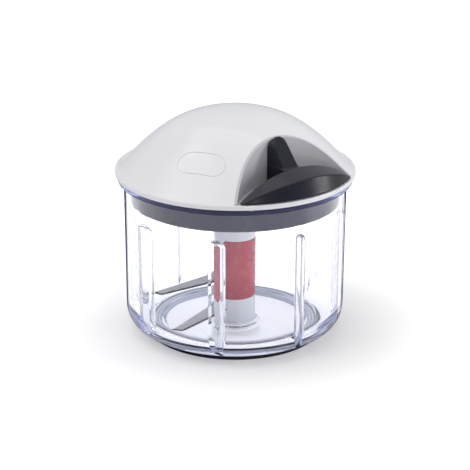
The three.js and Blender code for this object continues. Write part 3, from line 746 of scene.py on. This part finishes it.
bladeSize = {
    "reach": 55 * mm,
    "thickness": 1.2 * mm,
    "tipHalf": 3 * mm,
    "tipCut": 2.4 * mm,
    "rootEdge": 11 * mm,
    "root": 4 * mm,
    "disc": 9 * mm,
    "bevel": 2.2 * mm,
    "land": 0.2 * mm,
    "hole": 4.6 * mm,
    "slotGap": 0.12 * mm,
}
shaftSize = {
    "radius": 12.25 * mm,
    "sleeveWall": 1.5 * mm,
    "wall": 1.9 * mm,
    "hollow": 8 * mm,
    "bore": 2.9 * mm,
    "tube": 4.3 * mm,
    "flange": 0.7 * mm,
    "flangeHeight": 1.3 * mm,
    "flangeSlope": 0.5 * mm,
    "hexagon": 5.5 * mm,
    "gap": 0.3 * mm,
    "headGap": 0.8 * mm,
    "topRound": 0.9 * mm,
    "steps": 128,
}
bladeAngle = {"upper_blade": -94, "lower_blade": -76}


def bladeCorners(growth):
    size = bladeSize
    slope = (size["rootEdge"] - size["tipHalf"]) / size["reach"]
    return [
        (size["root"], slope * size["root"] - size["rootEdge"] - growth),
        (size["reach"] + growth, -size["tipHalf"] - growth),
        (size["reach"] - size["tipCut"] + growth, size["tipHalf"] + growth),
        (size["root"], size["tipHalf"] + growth),
    ]


def bladeBlank(name, growth):
    # the blade's plate with its root disc, or the larger form of the slot that takes it
    half = bladeSize["thickness"] / 2 + growth
    low, high = middleOf(name)[2] - half, middleOf(name)[2] + half
    bm = bmesh.new()
    bm.faces.new([bm.verts.new((x, y, low)) for x, y in bladeCorners(growth)])
    blank = asObject(name + "Blank", raised(bm, (0, 0, high - low)))
    return combine(blank, rod(bladeSize["disc"] + growth, low, high), "UNION")


def atItsAngle(blade, name):
    return moved(asShape(blade), turnedBy(math.radians(bladeAngle[name] - 90)))


def makeBlade(name, title):
    size = bladeSize
    low = middleOf(name)[2] - size["thickness"] / 2
    blade = bladeBlank(name, 0)
    combine(blade, rod(size["hole"], low - 1 * mm, low + 3 * mm))
    # the ground edge is a long wedge taken off along the cutting edge
    past = 1 * mm
    wedge = wire([
        (-past, size["land"]), (0, size["land"]), (size["bevel"], size["thickness"]),
        (size["bevel"], 2 * mm), (-past, 2 * mm),
    ], True)
    bmesh.ops.contextual_create(wedge, geom=wedge.edges[:])
    raised(wedge, (0, -size["reach"], 0))
    lean = math.atan((size["rootEdge"] - size["tipHalf"]) / size["reach"])
    start = shaftSize["radius"]
    moved(wedge, Matrix.Translation((start, start * math.tan(lean) - size["rootEdge"], low))
          @ turnedBy(lean + math.pi / 2))
    combine(blade, wedge)
    shape = atItsAngle(blade, name)
    bmesh.ops.recalc_face_normals(shape, faces=shape.faces)
    return place(shade(asObject(title, shape), 15), "blade_steel", "blade_unit", name)


def makeShaft():
    size = shaftSize
    radius = size["radius"]
    gap = size["gap"]
    low = shaftLow.z
    high = housingLow.z - size["headGap"]
    inner = radius - size["wall"]
    groove = radius - size["sleeveWall"] - gap
    tubeFoot = bossTop + 0.6 * mm
    boreTop = pinHigh.z + 2 * mm
    flange = radius + size["flange"]
    flangeTop = low + size["flangeHeight"]
    shaft = asObject("bladeShaft", spun([
        (0, boreTop),
        (size["bore"], boreTop),
        (size["bore"], tubeFoot),
        (size["tube"], tubeFoot),
        (size["tube"], low + size["hollow"]),
        (inner, low + size["hollow"], 0.5 * mm),
        (inner, low, soft),
        (flange, low, soft),
        (flange, flangeTop, 0.4 * mm),
        (radius, flangeTop + size["flangeSlope"], soft),
        (radius, sleeveLow.z - gap * 0.4),
        (groove, sleeveLow.z - gap),
        (groove, sleeveHigh.z + gap),
        (radius, sleeveHigh.z + gap * 0.4),
        (radius, high, size["topRound"]),
        (0, high),
    ], steps=size["steps"]))
    drive = rod(size["hexagon"], high - 2 * mm, shaftHigh.z, steps=6)
    combine(shaft, rounded(drive, drive.edges[:], 0.4 * mm, 2), "UNION")
    sleeve = asObject("redSleeve", spun([
        (groove + gap, sleeveLow.z), (radius, sleeveLow.z, crisp),
        (radius, sleeveHigh.z, crisp), (groove + gap, sleeveHigh.z),
    ], True, steps=size["steps"]))
    for name in bladeAngle:
        for target in (shaft, sleeve):
            combine(target, atItsAngle(bladeBlank(name, bladeSize["slotGap"]), name))
    place(shade(shaft), "white_plastic", "blade_unit", "blade_shaft")
    place(shade(sleeve), "red_plastic", "blade_unit", "shaft_sleeve")


makeShaft()
makeBlade("upper_blade", "upperBlade")
makeBlade("lower_blade", "lowerBlade")

# the lid

domeSize = {
    "lip": 2.7 * mm,
    "lipRound": 0.5 * mm,
    "ledge": 1.5 * mm,
    "seat": 0.3 * mm,  # above the bowl's rim
    "wall": 2.4 * mm,
    "shoulder": 2.65,
    "crown": 1.22,
    "rows": 36,
    "steps": 224,
}
recessSize = {
    "radius": 57.2 * mm,
    "reach": 36.8 * mm,
    "wall": 1.3 * mm,
    "floor": 1.2 * mm,
    "fillet": 0.8 * mm,
    "seam": 0.06 * mm,
    "steps": 320,
}
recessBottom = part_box("handle_recess")[0].z
recessFloor = recessBottom + recessSize["floor"]
lipBottom = rim + domeSize["seat"]
lipTop = lipBottom + domeSize["lip"]
domeRadius = lidRadius - domeSize["ledge"]
domeInside = domeRadius - domeSize["wall"]
above = lidHigh.z + 5 * mm  # clear of the lid's top


def domeHeight(radius, depth=0):
    # the dome's height at a radius, or that of a like surface inside it
    share = min(radius / (domeRadius - depth), 1)
    rise = lidHigh.z - lipTop - depth
    return lipTop + rise * (1 - share ** domeSize["shoulder"]) ** domeSize["crown"]


def domeCurve(depth):
    # the dome's profile from its top to its edge
    rows = domeSize["rows"]
    radii = [(domeRadius - depth) * math.sin(turn / 4 * i / rows) for i in range(rows + 1)]
    return [(radius, domeHeight(radius, depth)) for radius in radii]


def recessCutter(radius, low, high):
    centre = (0, -(recessSize["reach"] + recessSize["radius"]))
    return rod(radius, low, high, centre, recessSize["steps"])


def makeDome():
    outline = domeCurve(0) + [
        (lidRadius - 0.05 * mm, lipTop, domeSize["lipRound"]), (lidRadius, lipBottom, 0.6 * mm),
        (domeInside, lipBottom, soft),
    ] + domeCurve(domeSize["wall"])[::-1]
    dome = asObject("whiteDome", spun(outline, steps=domeSize["steps"]))
    reach = recessSize["radius"] + recessSize["wall"] + recessSize["seam"]
    combine(dome, recessCutter(reach, lipTop - 0.02 * mm, above))
    combine(dome, badgeGroove())
    return place(shade(dome, 24), "gloss_white", "lid", "lid_dome")


badge = {
    "angle": -60,
    "radius": 50 * mm,
    "length": 28 * mm,
    "height": 14 * mm,
    "groove": 0.32 * mm,
    "corners": 96,
}


def badgeGroove():
    # a bare oval outline engraved in the dome: a thin tube laid on the surface
    radius = badge["radius"]
    out = heading(badge["angle"])
    along = heading(badge["angle"] + 90)
    slope = (domeHeight(radius + 1 * mm) - domeHeight(radius - 1 * mm)) / (2 * mm)
    down = Vector((out.x, out.y, slope)).normalized()
    ends = badge["height"] / 2
    straight = badge["length"] / 2 - ends
    oval = bmesh.new()
    bmesh.ops.create_circle(oval, cap_ends=False, segments=badge["corners"], radius=ends)
    places = []
    for vert in oval.verts:
        x, y = vert.co.x, vert.co.y
        x += math.copysign(straight, x) if abs(x) > near else 0
        spot = out * radius + along * x + down * y
        places.append(Vector((spot.x, spot.y, domeHeight(Vector((spot.x, spot.y)).length))))
    oval.free()
    return tubeAlong(places, badge["groove"])


def tubeAlong(places, radius, sides=8):
    # a round tube through a closed loop of places
    bm = bmesh.new()
    rings = []
    count = len(places)
    for i, spot in enumerate(places):
        direction = (places[(i + 1) % count] - places[i - 1]).normalized()
        aim = direction.to_track_quat("Z", "Y").to_matrix().to_4x4()
        made = bmesh.ops.create_circle(bm, cap_ends=False, segments=sides, radius=radius,
                                       matrix=Matrix.Translation(spot) @ aim)
        rings.append(list({e for v in made["verts"] for e in v.link_edges}))
    for i in range(count):
        bmesh.ops.bridge_loops(bm, edges=rings[i] + rings[(i + 1) % count])
    return tidyFaces(bm)


eyeletSize = {"bore": 1.7 * mm, "flange": 1.6 * mm, "flangeHeight": 1.0 * mm, "gap": 0.3 * mm}


def alongCord(bm, y=0):
    # a shape made about the Z axis laid along the cord's line, its heights becoming places in Y
    return moved(bm, Matrix.Translation((0, y, cordLevel)) @ turnedBy(-math.pi / 2, "X"))


def makeRecess():
    size = recessSize
    edge = domeInside - 0.3 * mm
    skin = [(radius, height) for radius, height in domeCurve(0) if height > lipTop + 0.3 * mm]
    recess = asObject("greyRecess", spun([
        (0, recessBottom), (edge, recessBottom, crisp), (edge, lipTop + 0.1 * mm),
    ] + skin[::-1], steps=domeSize["steps"]))
    outside = recessCutter(size["radius"] + size["wall"], recessBottom - 1 * mm, lidHigh.z)
    combine(recess, outside, "INTERSECT")
    hollow = recessCutter(size["radius"], recessFloor, above)
    foot = [e for e in hollow.edges if max(v.co.z for v in e.verts) < recessFloor + near]
    combine(recess, rounded(hollow, foot, size["fillet"], 4))
    hole = eyeletHigh.x - eyeletSize["flange"] + eyeletSize["gap"]
    combine(recess, alongCord(rod(hole, -size["reach"] - 5 * mm, -size["reach"] + 5 * mm)))
    return place(shade(recess, 24), "grey_plastic", "lid", "handle_recess")


housingSize = {
    "wall": 2.2 * mm,
    "gap": 1.4 * mm,
    "footRound": 1.3 * mm,
    "bush": 11.9 * mm,
    "head": 3.3 * mm,
    "headDepth": 1.9 * mm,
    "boss": 4.8 * mm,
    "bossHeight": 3.7 * mm,
    "screwHole": 1.6 * mm,
}


def makeHousing():
    size = housingSize
    radius = rimRadius - bowlSize["wall"] - size["gap"]
    within = radius - size["wall"]
    edge = domeInside - 0.3 * mm
    low = housingLow.z
    floor = low + size["wall"]
    housing = asObject("driveHousing", spun([
        (size["bush"], low, soft), (radius, low, size["footRound"]), (radius, lipBottom, crisp),
        (edge, lipBottom, crisp), (edge, housingHigh.z, crisp), (within, housingHigh.z, crisp),
        (within, floor, 1.0 * mm), (size["bush"], floor, soft),
    ], True, steps=192))
    for name in nodes:
        if "screw" in name:
            spot = middleOf(name)[:2]
            combine(housing, rod(size["boss"], floor - 0.5 * mm, low + size["bossHeight"], spot), "UNION")
            combine(housing, rod(size["head"], low - 1 * mm, low + size["headDepth"], spot))
            combine(housing, rod(size["screwHole"], low - 1 * mm, low + 4.5 * mm, spot, 24))
    return place(shade(housing), "dark_grey_plastic", "lid", "drive_housing")


def makeEyelet():
    size = eyeletSize
    front, back = eyeletLow.y, eyeletHigh.y
    tube = eyeletHigh.x - size["flange"]
    flangeFront = back - size["flangeHeight"]
    ring = spun([
        (size["bore"], front, 0.6 * mm), (tube, front, crisp), (tube, flangeFront),
        (eyeletHigh.x, flangeFront, crisp), (eyeletHigh.x, back, soft), (size["bore"], back, 0.5 * mm),
    ], True, steps=64)
    return place(shade(asObject("cordEyelet", alongCord(ring))), "steel", "lid", "cord_eyelet")


screwSize = {
    "head": 3.0 * mm,
    "headHeight": 1.4 * mm,
    "headRound": 0.45 * mm,
    "shank": 1.3 * mm,
    "point": 1 * mm,
    "crossLength": 3.4 * mm,
    "crossWidth": 0.8 * mm,
    "crossDepth": 1.0 * mm,
}


def makeScrew(name, title, turned):
    size = screwSize
    low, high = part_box(name)
    headTop = low.z + size["headHeight"]
    screw = asObject(title, spun([
        (0, low.z), (size["head"], low.z, size["headRound"]), (size["head"], headTop),
        (size["shank"], headTop), (size["shank"], high.z - size["point"]), (0, high.z),
    ], steps=40))
    deep = (low.z - 1 * mm, low.z + size["crossDepth"])
    half = (-size["crossWidth"] / 2, size["crossWidth"] / 2)
    span = (-size["crossLength"] / 2, size["crossLength"] / 2)
    combine(screw, slab(span, half, deep))
    combine(screw, slab(half, span, deep))
    x, y = middleOf(name)[:2]
    screw.data.transform(Matrix.Translation((x, y, 0)) @ turnedBy(math.radians(turned)))
    return place(shade(screw), "screw_steel", "lid", name)


def makeScrews():
    for i in range(3):
        makeScrew(f"plate_screw_{i + 1}", f"plateScrew{i + 1}", 20 + 47 * i)
        makeScrew(f"dome_screw_{i + 1}", f"domeScrew{i + 1}", 65 + 31 * i)


bushSize = {"bore": 10.2 * mm, "tube": 11.6 * mm, "flange": 1.6 * mm}


def makeBush():
    size = bushSize
    low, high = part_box("coupling_bush")
    foot = high.z - size["flange"]
    bush = spun([
        (size["bore"], low.z, 0.4 * mm), (size["tube"], low.z, soft), (size["tube"], foot),
        (high.x, foot, crisp), (high.x, high.z, soft), (size["bore"], high.z, soft),
    ], True, steps=96)
    return place(shade(asObject("couplingBush", bush)), "natural_plastic", "lid", "coupling_bush")


couplingSize = {
    "radius": 9.6 * mm,
    "bore": 3.6 * mm,
    "boreDepth": 6 * mm,
    "flats": 6.1 * mm,
    "socketGap": 0.6 * mm,
    "collar": 2 * mm,
    "flange": 1.6 * mm,
}


def makeCoupling():
    size = couplingSize
    low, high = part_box("drive_coupling")
    radius, bore = size["radius"], size["bore"]
    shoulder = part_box("coupling_bush")[1].z + 0.3 * mm
    collar = shoulder + size["collar"]
    boreFoot = high.z - size["boreDepth"]
    coupling = asObject("driveCoupling", spun([
        (0, low.z), (radius, low.z, 0.6 * mm), (radius, shoulder), (high.x, shoulder, crisp),
        (high.x, collar, soft), (radius, collar + 2 * mm), (radius, high.z - 2 * mm),
        (high.x, high.z - size["flange"], crisp), (high.x, high.z, soft),
        (bore, high.z, soft), (bore, boreFoot), (0, boreFoot),
    ], steps=96))
    combine(coupling, rod(size["flats"], low.z - 1 * mm, shaftHigh.z + size["socketGap"], steps=6))
    return place(shade(coupling), "dark_grey_plastic", "reel", "drive_coupling")


makeDome()
makeRecess()
makeHousing()
makeEyelet()
makeScrews()
makeBush()
makeCoupling()

# the handle

handleSize = {
    "inset": 0.7 * mm,
    "lean": 0.2,
    "fingerGap": 17.9 * mm,
    "rise": 13.3 * mm,
    "crown": 68 * mm,
    "barrel": 40 * mm,
    "slope": 0.254,
    "hollowDepth": 9 * mm,
    "hollowRise": 7 * mm,
    "hollowLevel": 4.3 * mm,
    "hollowLength": 76 * mm,
    "hollowInset": 0.56,
    "tipGap": 1.6 * mm,
    "finHalf": 7 * mm,
    "finGap": 0.7 * mm,
    "finFoot": 4 * mm,  # the fin's front, into the grip
    "finRoot": 5 * mm,
    "finSink": 1.5 * mm,
    "finTop": 0.8 * mm,
    "finTip": 0.25,
    "spineFoot": 5.2 * mm,
    "spineTop": 4.1 * mm,
    "finRound": 5.5 * mm,
    "finRows": 24,
    "cordHole": 1.7 * mm,
    "cordHoleDepth": 13.6 * mm,
    "pocket": 3.6 * mm,
    "edge": 0.5 * mm,
    "edgeAngle": 0.6,
    "voxel": 0.33 * mm,
    "smoothing": 4,
    "smoothness": 0.5,
    "steps": 360,
}
handleBack = recessSize["reach"] + handleSize["fingerGap"]


def handleBody():
    size = handleSize
    low = gripLow.z
    high = low + size["rise"] + 6 * mm
    front = lidRadius - size["inset"]
    grip = asObject("charcoalHandle", spun([
        (0, low), (front, low, 0.5 * mm), (front - size["lean"] * (high - low), high), (0, high),
    ], steps=size["steps"]))
    # the arched top is a long sheared barrel
    barrel = rod(size["crown"], 0, size["barrel"], steps=size["steps"])
    shear = Matrix.Identity(4)
    shear[2][1] = size["slope"]
    middle = Matrix.Translation((0, -handleBack, low + size["rise"] - size["crown"]))
    moved(barrel, middle @ shear @ turnedBy(math.pi / 2, "X"))
    combine(grip, barrel, "INTERSECT")
    combine(grip, recessCutter(recessSize["radius"] - size["tipGap"], low - 1 * mm, high), "INTERSECT")
    depth = size["hollowDepth"]
    middle = Matrix.Translation((0, -handleBack + depth * size["hollowInset"], low + size["hollowLevel"]))
    scoop = bmesh.new()
    bmesh.ops.create_uvsphere(scoop, u_segments=96, v_segments=48, radius=1, matrix=middle @ Matrix.Diagonal(
        (size["hollowLength"] / 2, depth, size["hollowRise"], 1)))
    return combine(grip, scoop)


def finShape():
    # central fin: wide at the recess wall, with a narrower straight spine and a rounded top
    size = handleSize
    low = gripLow.z
    wallSide = -(recessSize["reach"] + size["finGap"])
    footFront = -(handleBack - size["finFoot"])
    footLevel = low + size["rise"] - size["finSink"]
    topFront = wallSide - size["finTop"]
    insideGrip = -(handleBack + size["finRoot"])
    levels = [(level, size["finHalf"], size["spineFoot"], insideGrip)
              for level in (low, footLevel - 0.4 * mm)]
    for i in range(size["finRows"] + 1):
        climb = math.sin(turn / 4 * i / size["finRows"])
        level = footLevel + (gripHigh.z - footLevel) * climb
        rounding = min(max((level - gripHigh.z + size["finRound"]) / size["finRound"], 0), 1)
        narrow = max(math.sqrt(1 - rounding ** 2), size["finTip"])
        spine = size["spineFoot"] + (size["spineTop"] - size["spineFoot"]) * climb
        front = footFront + (topFront - footFront) * climb
        levels.append((level, size["finHalf"] * narrow, spine * narrow, front))
    bm = bmesh.new()
    loops = []
    for level, wide, slim, front in levels:
        corners = [(-wide, wallSide), (-slim, front), (slim, front), (wide, wallSide)]
        verts = [bm.verts.new((x, y, level)) for x, y in corners]
        loops.append([bm.edges.new((verts[k], verts[(k + 1) % 4])) for k in range(4)])
    for first, second in zip(loops, loops[1:]):
        bmesh.ops.bridge_loops(bm, edges=first + second)
    bmesh.ops.holes_fill(bm, edges=bm.edges, sides=4)
    return tidyFaces(bm)


def addModifier(piece, name, kind, **settings):
    modifier = piece.modifiers.new(name, kind)
    for setting, value in settings.items():
        setattr(modifier, setting, value)


def makeHandle():
    size = handleSize
    grip = combine(handleBody(), finShape(), "UNION")
    middle = middleOf("cord_knot")[1]
    combine(grip, alongCord(rod(size["cordHole"], 0, size["cordHoleDepth"], steps=32), middle))
    half = size["pocket"]
    combine(grip, slab((-half, half), (middle - half, middle + half), (gripLow.z - 1 * mm, cordLevel + half)))
    addModifier(grip, "rounded edges", "BEVEL", width=size["edge"], segments=3, limit_method="ANGLE",
                angle_limit=size["edgeAngle"], use_clamp_overlap=False)
    addModifier(grip, "even skin", "REMESH", mode="VOXEL", voxel_size=size["voxel"])
    addModifier(grip, "soft edges", "SMOOTH", factor=size["smoothness"],
                iterations=size["smoothing"])
    shade(settled(grip), 180)
    return place(grip, "charcoal_plastic", "handle", "handle_grip")


def makeKnotCover():
    plug = slab(*zip(*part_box("knot_cover")))
    rounded(plug, plug.edges[:], soft, 3)
    return place(shade(asObject("knotCover", plug)), "charcoal_plastic", "handle", "knot_cover")


cordSize = {"radius": 1.1 * mm, "rows": 160, "held": 1.5 * mm}


def makePullCord():
    # the cord between the lid and the handle: it runs out of the eyelet as the handle is pulled
    low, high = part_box("pull_cord")
    size = cordSize
    rows = [low.y + (high.y - low.y) * i / size["rows"] for i in range(size["rows"] + 1)]
    outline = [(0, rows[0])] + [(size["radius"], row) for row in rows] + [(0, rows[-1])]
    cord = shade(asObject("pullCord", alongCord(spun(outline, steps=24))))
    cord.data.materials.append(finish["cord"])
    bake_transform(cord)
    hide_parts("pull_cord")
    print("made pullCord")


makeHandle()
makeKnotCover()
makePullCord()

# floor, lamps and background

stage = {
    "floorSize": 4,
    "floorColour": (0.90, 0.90, 0.905, 1),
    "floorGlowWithPaintedShade": (0.25, 0.60),  # seen by the camera, near the object and away from it; lower near it, a painted shade round the object's base
    "paintedFloorShadeFrom": (70 * mm, 170 * mm),
    "paintedLightThroughBowl": 0.82,  # painted light: seen through the clear bowl the floor glows brighter, lifting it out of the lid's shadow
    "floorMirror": 0.15,
    "floorMirrorRoughness": 0.04,
    "worldLight": 0.48,
    "mirrorDark": (0.20, 0.21, 0.28, 1),  # what gloss mirrors on the camera's side
    "mirrorBright": (0.95, 0.96, 1.0, 1),  # and overhead
    "mirrorDepth": 0.2,  # how much of that is mirrored level with the object, behind it
    "mirrorBlend": (-0.2, 0.8),
}


def makeFloor():
    bm = bmesh.new()
    bmesh.ops.create_grid(bm, x_segments=2, y_segments=2, size=stage["floorSize"])
    floor = asObject("floor", bm)
    material, tree, shader = startMaterial("pale floor", {})
    tree.nodes.remove(shader)
    ray = addNode(tree, "ShaderNodeLightPath").outputs
    matt = addNode(tree, "ShaderNodeBsdfDiffuse", {"Color": stage["floorColour"]})
    away = fromAxis(tree, placeOn(tree))
    # painted shade: the glow drops towards the object, darkening the floor round its base
    glowWithPaintedShade = between(tree, away, *stage["floorGlowWithPaintedShade"], *stage["paintedFloorShadeFrom"])
    seen = mixValues(tree, ray["Is Camera Ray"], 0.0, glowWithPaintedShade)
    # painted light: through the bowl the floor glows above the light that reaches it
    seen = mixValues(tree, ray["Is Transmission Ray"], seen, stage["paintedLightThroughBowl"])
    glow = addNode(tree, "ShaderNodeEmission", {"Color": (1, 1, 1, 1), "Strength": seen})
    both = addNode(tree, "ShaderNodeAddShader", {0: matt.outputs["BSDF"], 1: glow.outputs["Emission"]})
    # under the clear bowl the table shows a faint reflection
    mirror = addNode(tree, "ShaderNodeBsdfGlossy", {"Roughness": stage["floorMirrorRoughness"]})
    share = mixValues(tree, ray["Is Transmission Ray"], 0.0, stage["floorMirror"])
    surface = mixShaders(tree, share, both.outputs["Shader"], mirror.outputs["BSDF"])
    setValues(tree.nodes["Material Output"], {"Surface": surface})
    floor.data.materials.append(material)


def makeWorld():
    # white to the eye and through glass; gloss mirrors a darker room on the camera's side
    world = bpy.data.worlds.new("studio")
    scene.world = world
    world.use_nodes = True
    tree = world.node_tree
    ray = addNode(tree, "ShaderNodeLightPath").outputs
    behind = fromCamera(180, 0, stage["mirrorDepth"])
    behind.z = 1
    direction = addNode(tree, "ShaderNodeTexCoord").outputs["Generated"]
    facing = addNode(tree, "ShaderNodeVectorMath", {0: direction, 1: behind}, operation="DOT_PRODUCT")
    turned = between(tree, facing.outputs["Value"], 0, 1, *stage["mirrorBlend"])
    room = mixColours(tree, turned, stage["mirrorDark"], stage["mirrorBright"])
    light = (stage["worldLight"],) * 3 + (1,)
    shown = calculated(tree, "MAXIMUM", ray["Is Camera Ray"], ray["Is Transmission Ray"])
    colour = mixColours(tree, shown, light, (1, 1, 1, 1))
    colour = mixColours(tree, ray["Is Glossy Ray"], colour, room)
    setValues(tree.nodes["Background"], {"Color": colour})


lamps = {
    # azimuth from the camera, elevation, distance, width, height, power
    "keySoftbox": (-75, 48, 1.6, 1.5, 1.5, 5.0),
    "topSoftbox": (-118, 80, 1.4, 1.5, 1.5, 6.0),
    "sideStrip": (88, 8, 1.2, 0.27, 0.5, 4.6),
    "frontStrip": (15, 2, 1.5, 0.10, 0.4, 2.0),
}


def makeLamps():
    for name, (azimuth, elevation, distance, width, height, power) in lamps.items():
        data = bpy.data.lights.new(name, "AREA")
        data.shape = "RECTANGLE"
        data.size = width
        data.size_y = height
        data.energy = power
        lamp = bpy.data.objects.new(name, data)
        scene.collection.objects.link(lamp)
        lamp.location = fromCamera(azimuth, elevation, distance)
        lamp.rotation_euler = aimed(lamp).to_euler()


makeFloor()
makeWorld()
makeLamps()

# the CAD nodes that stay get their finish from the record's slots
slots = {part["node"]: part["material_slot"] for part in frame["record"]["subparts"]}
for name, node in nodes.items():
    node.data.materials.clear()
    node.data.materials.append(finish[slots[name]])
print("stage ready")
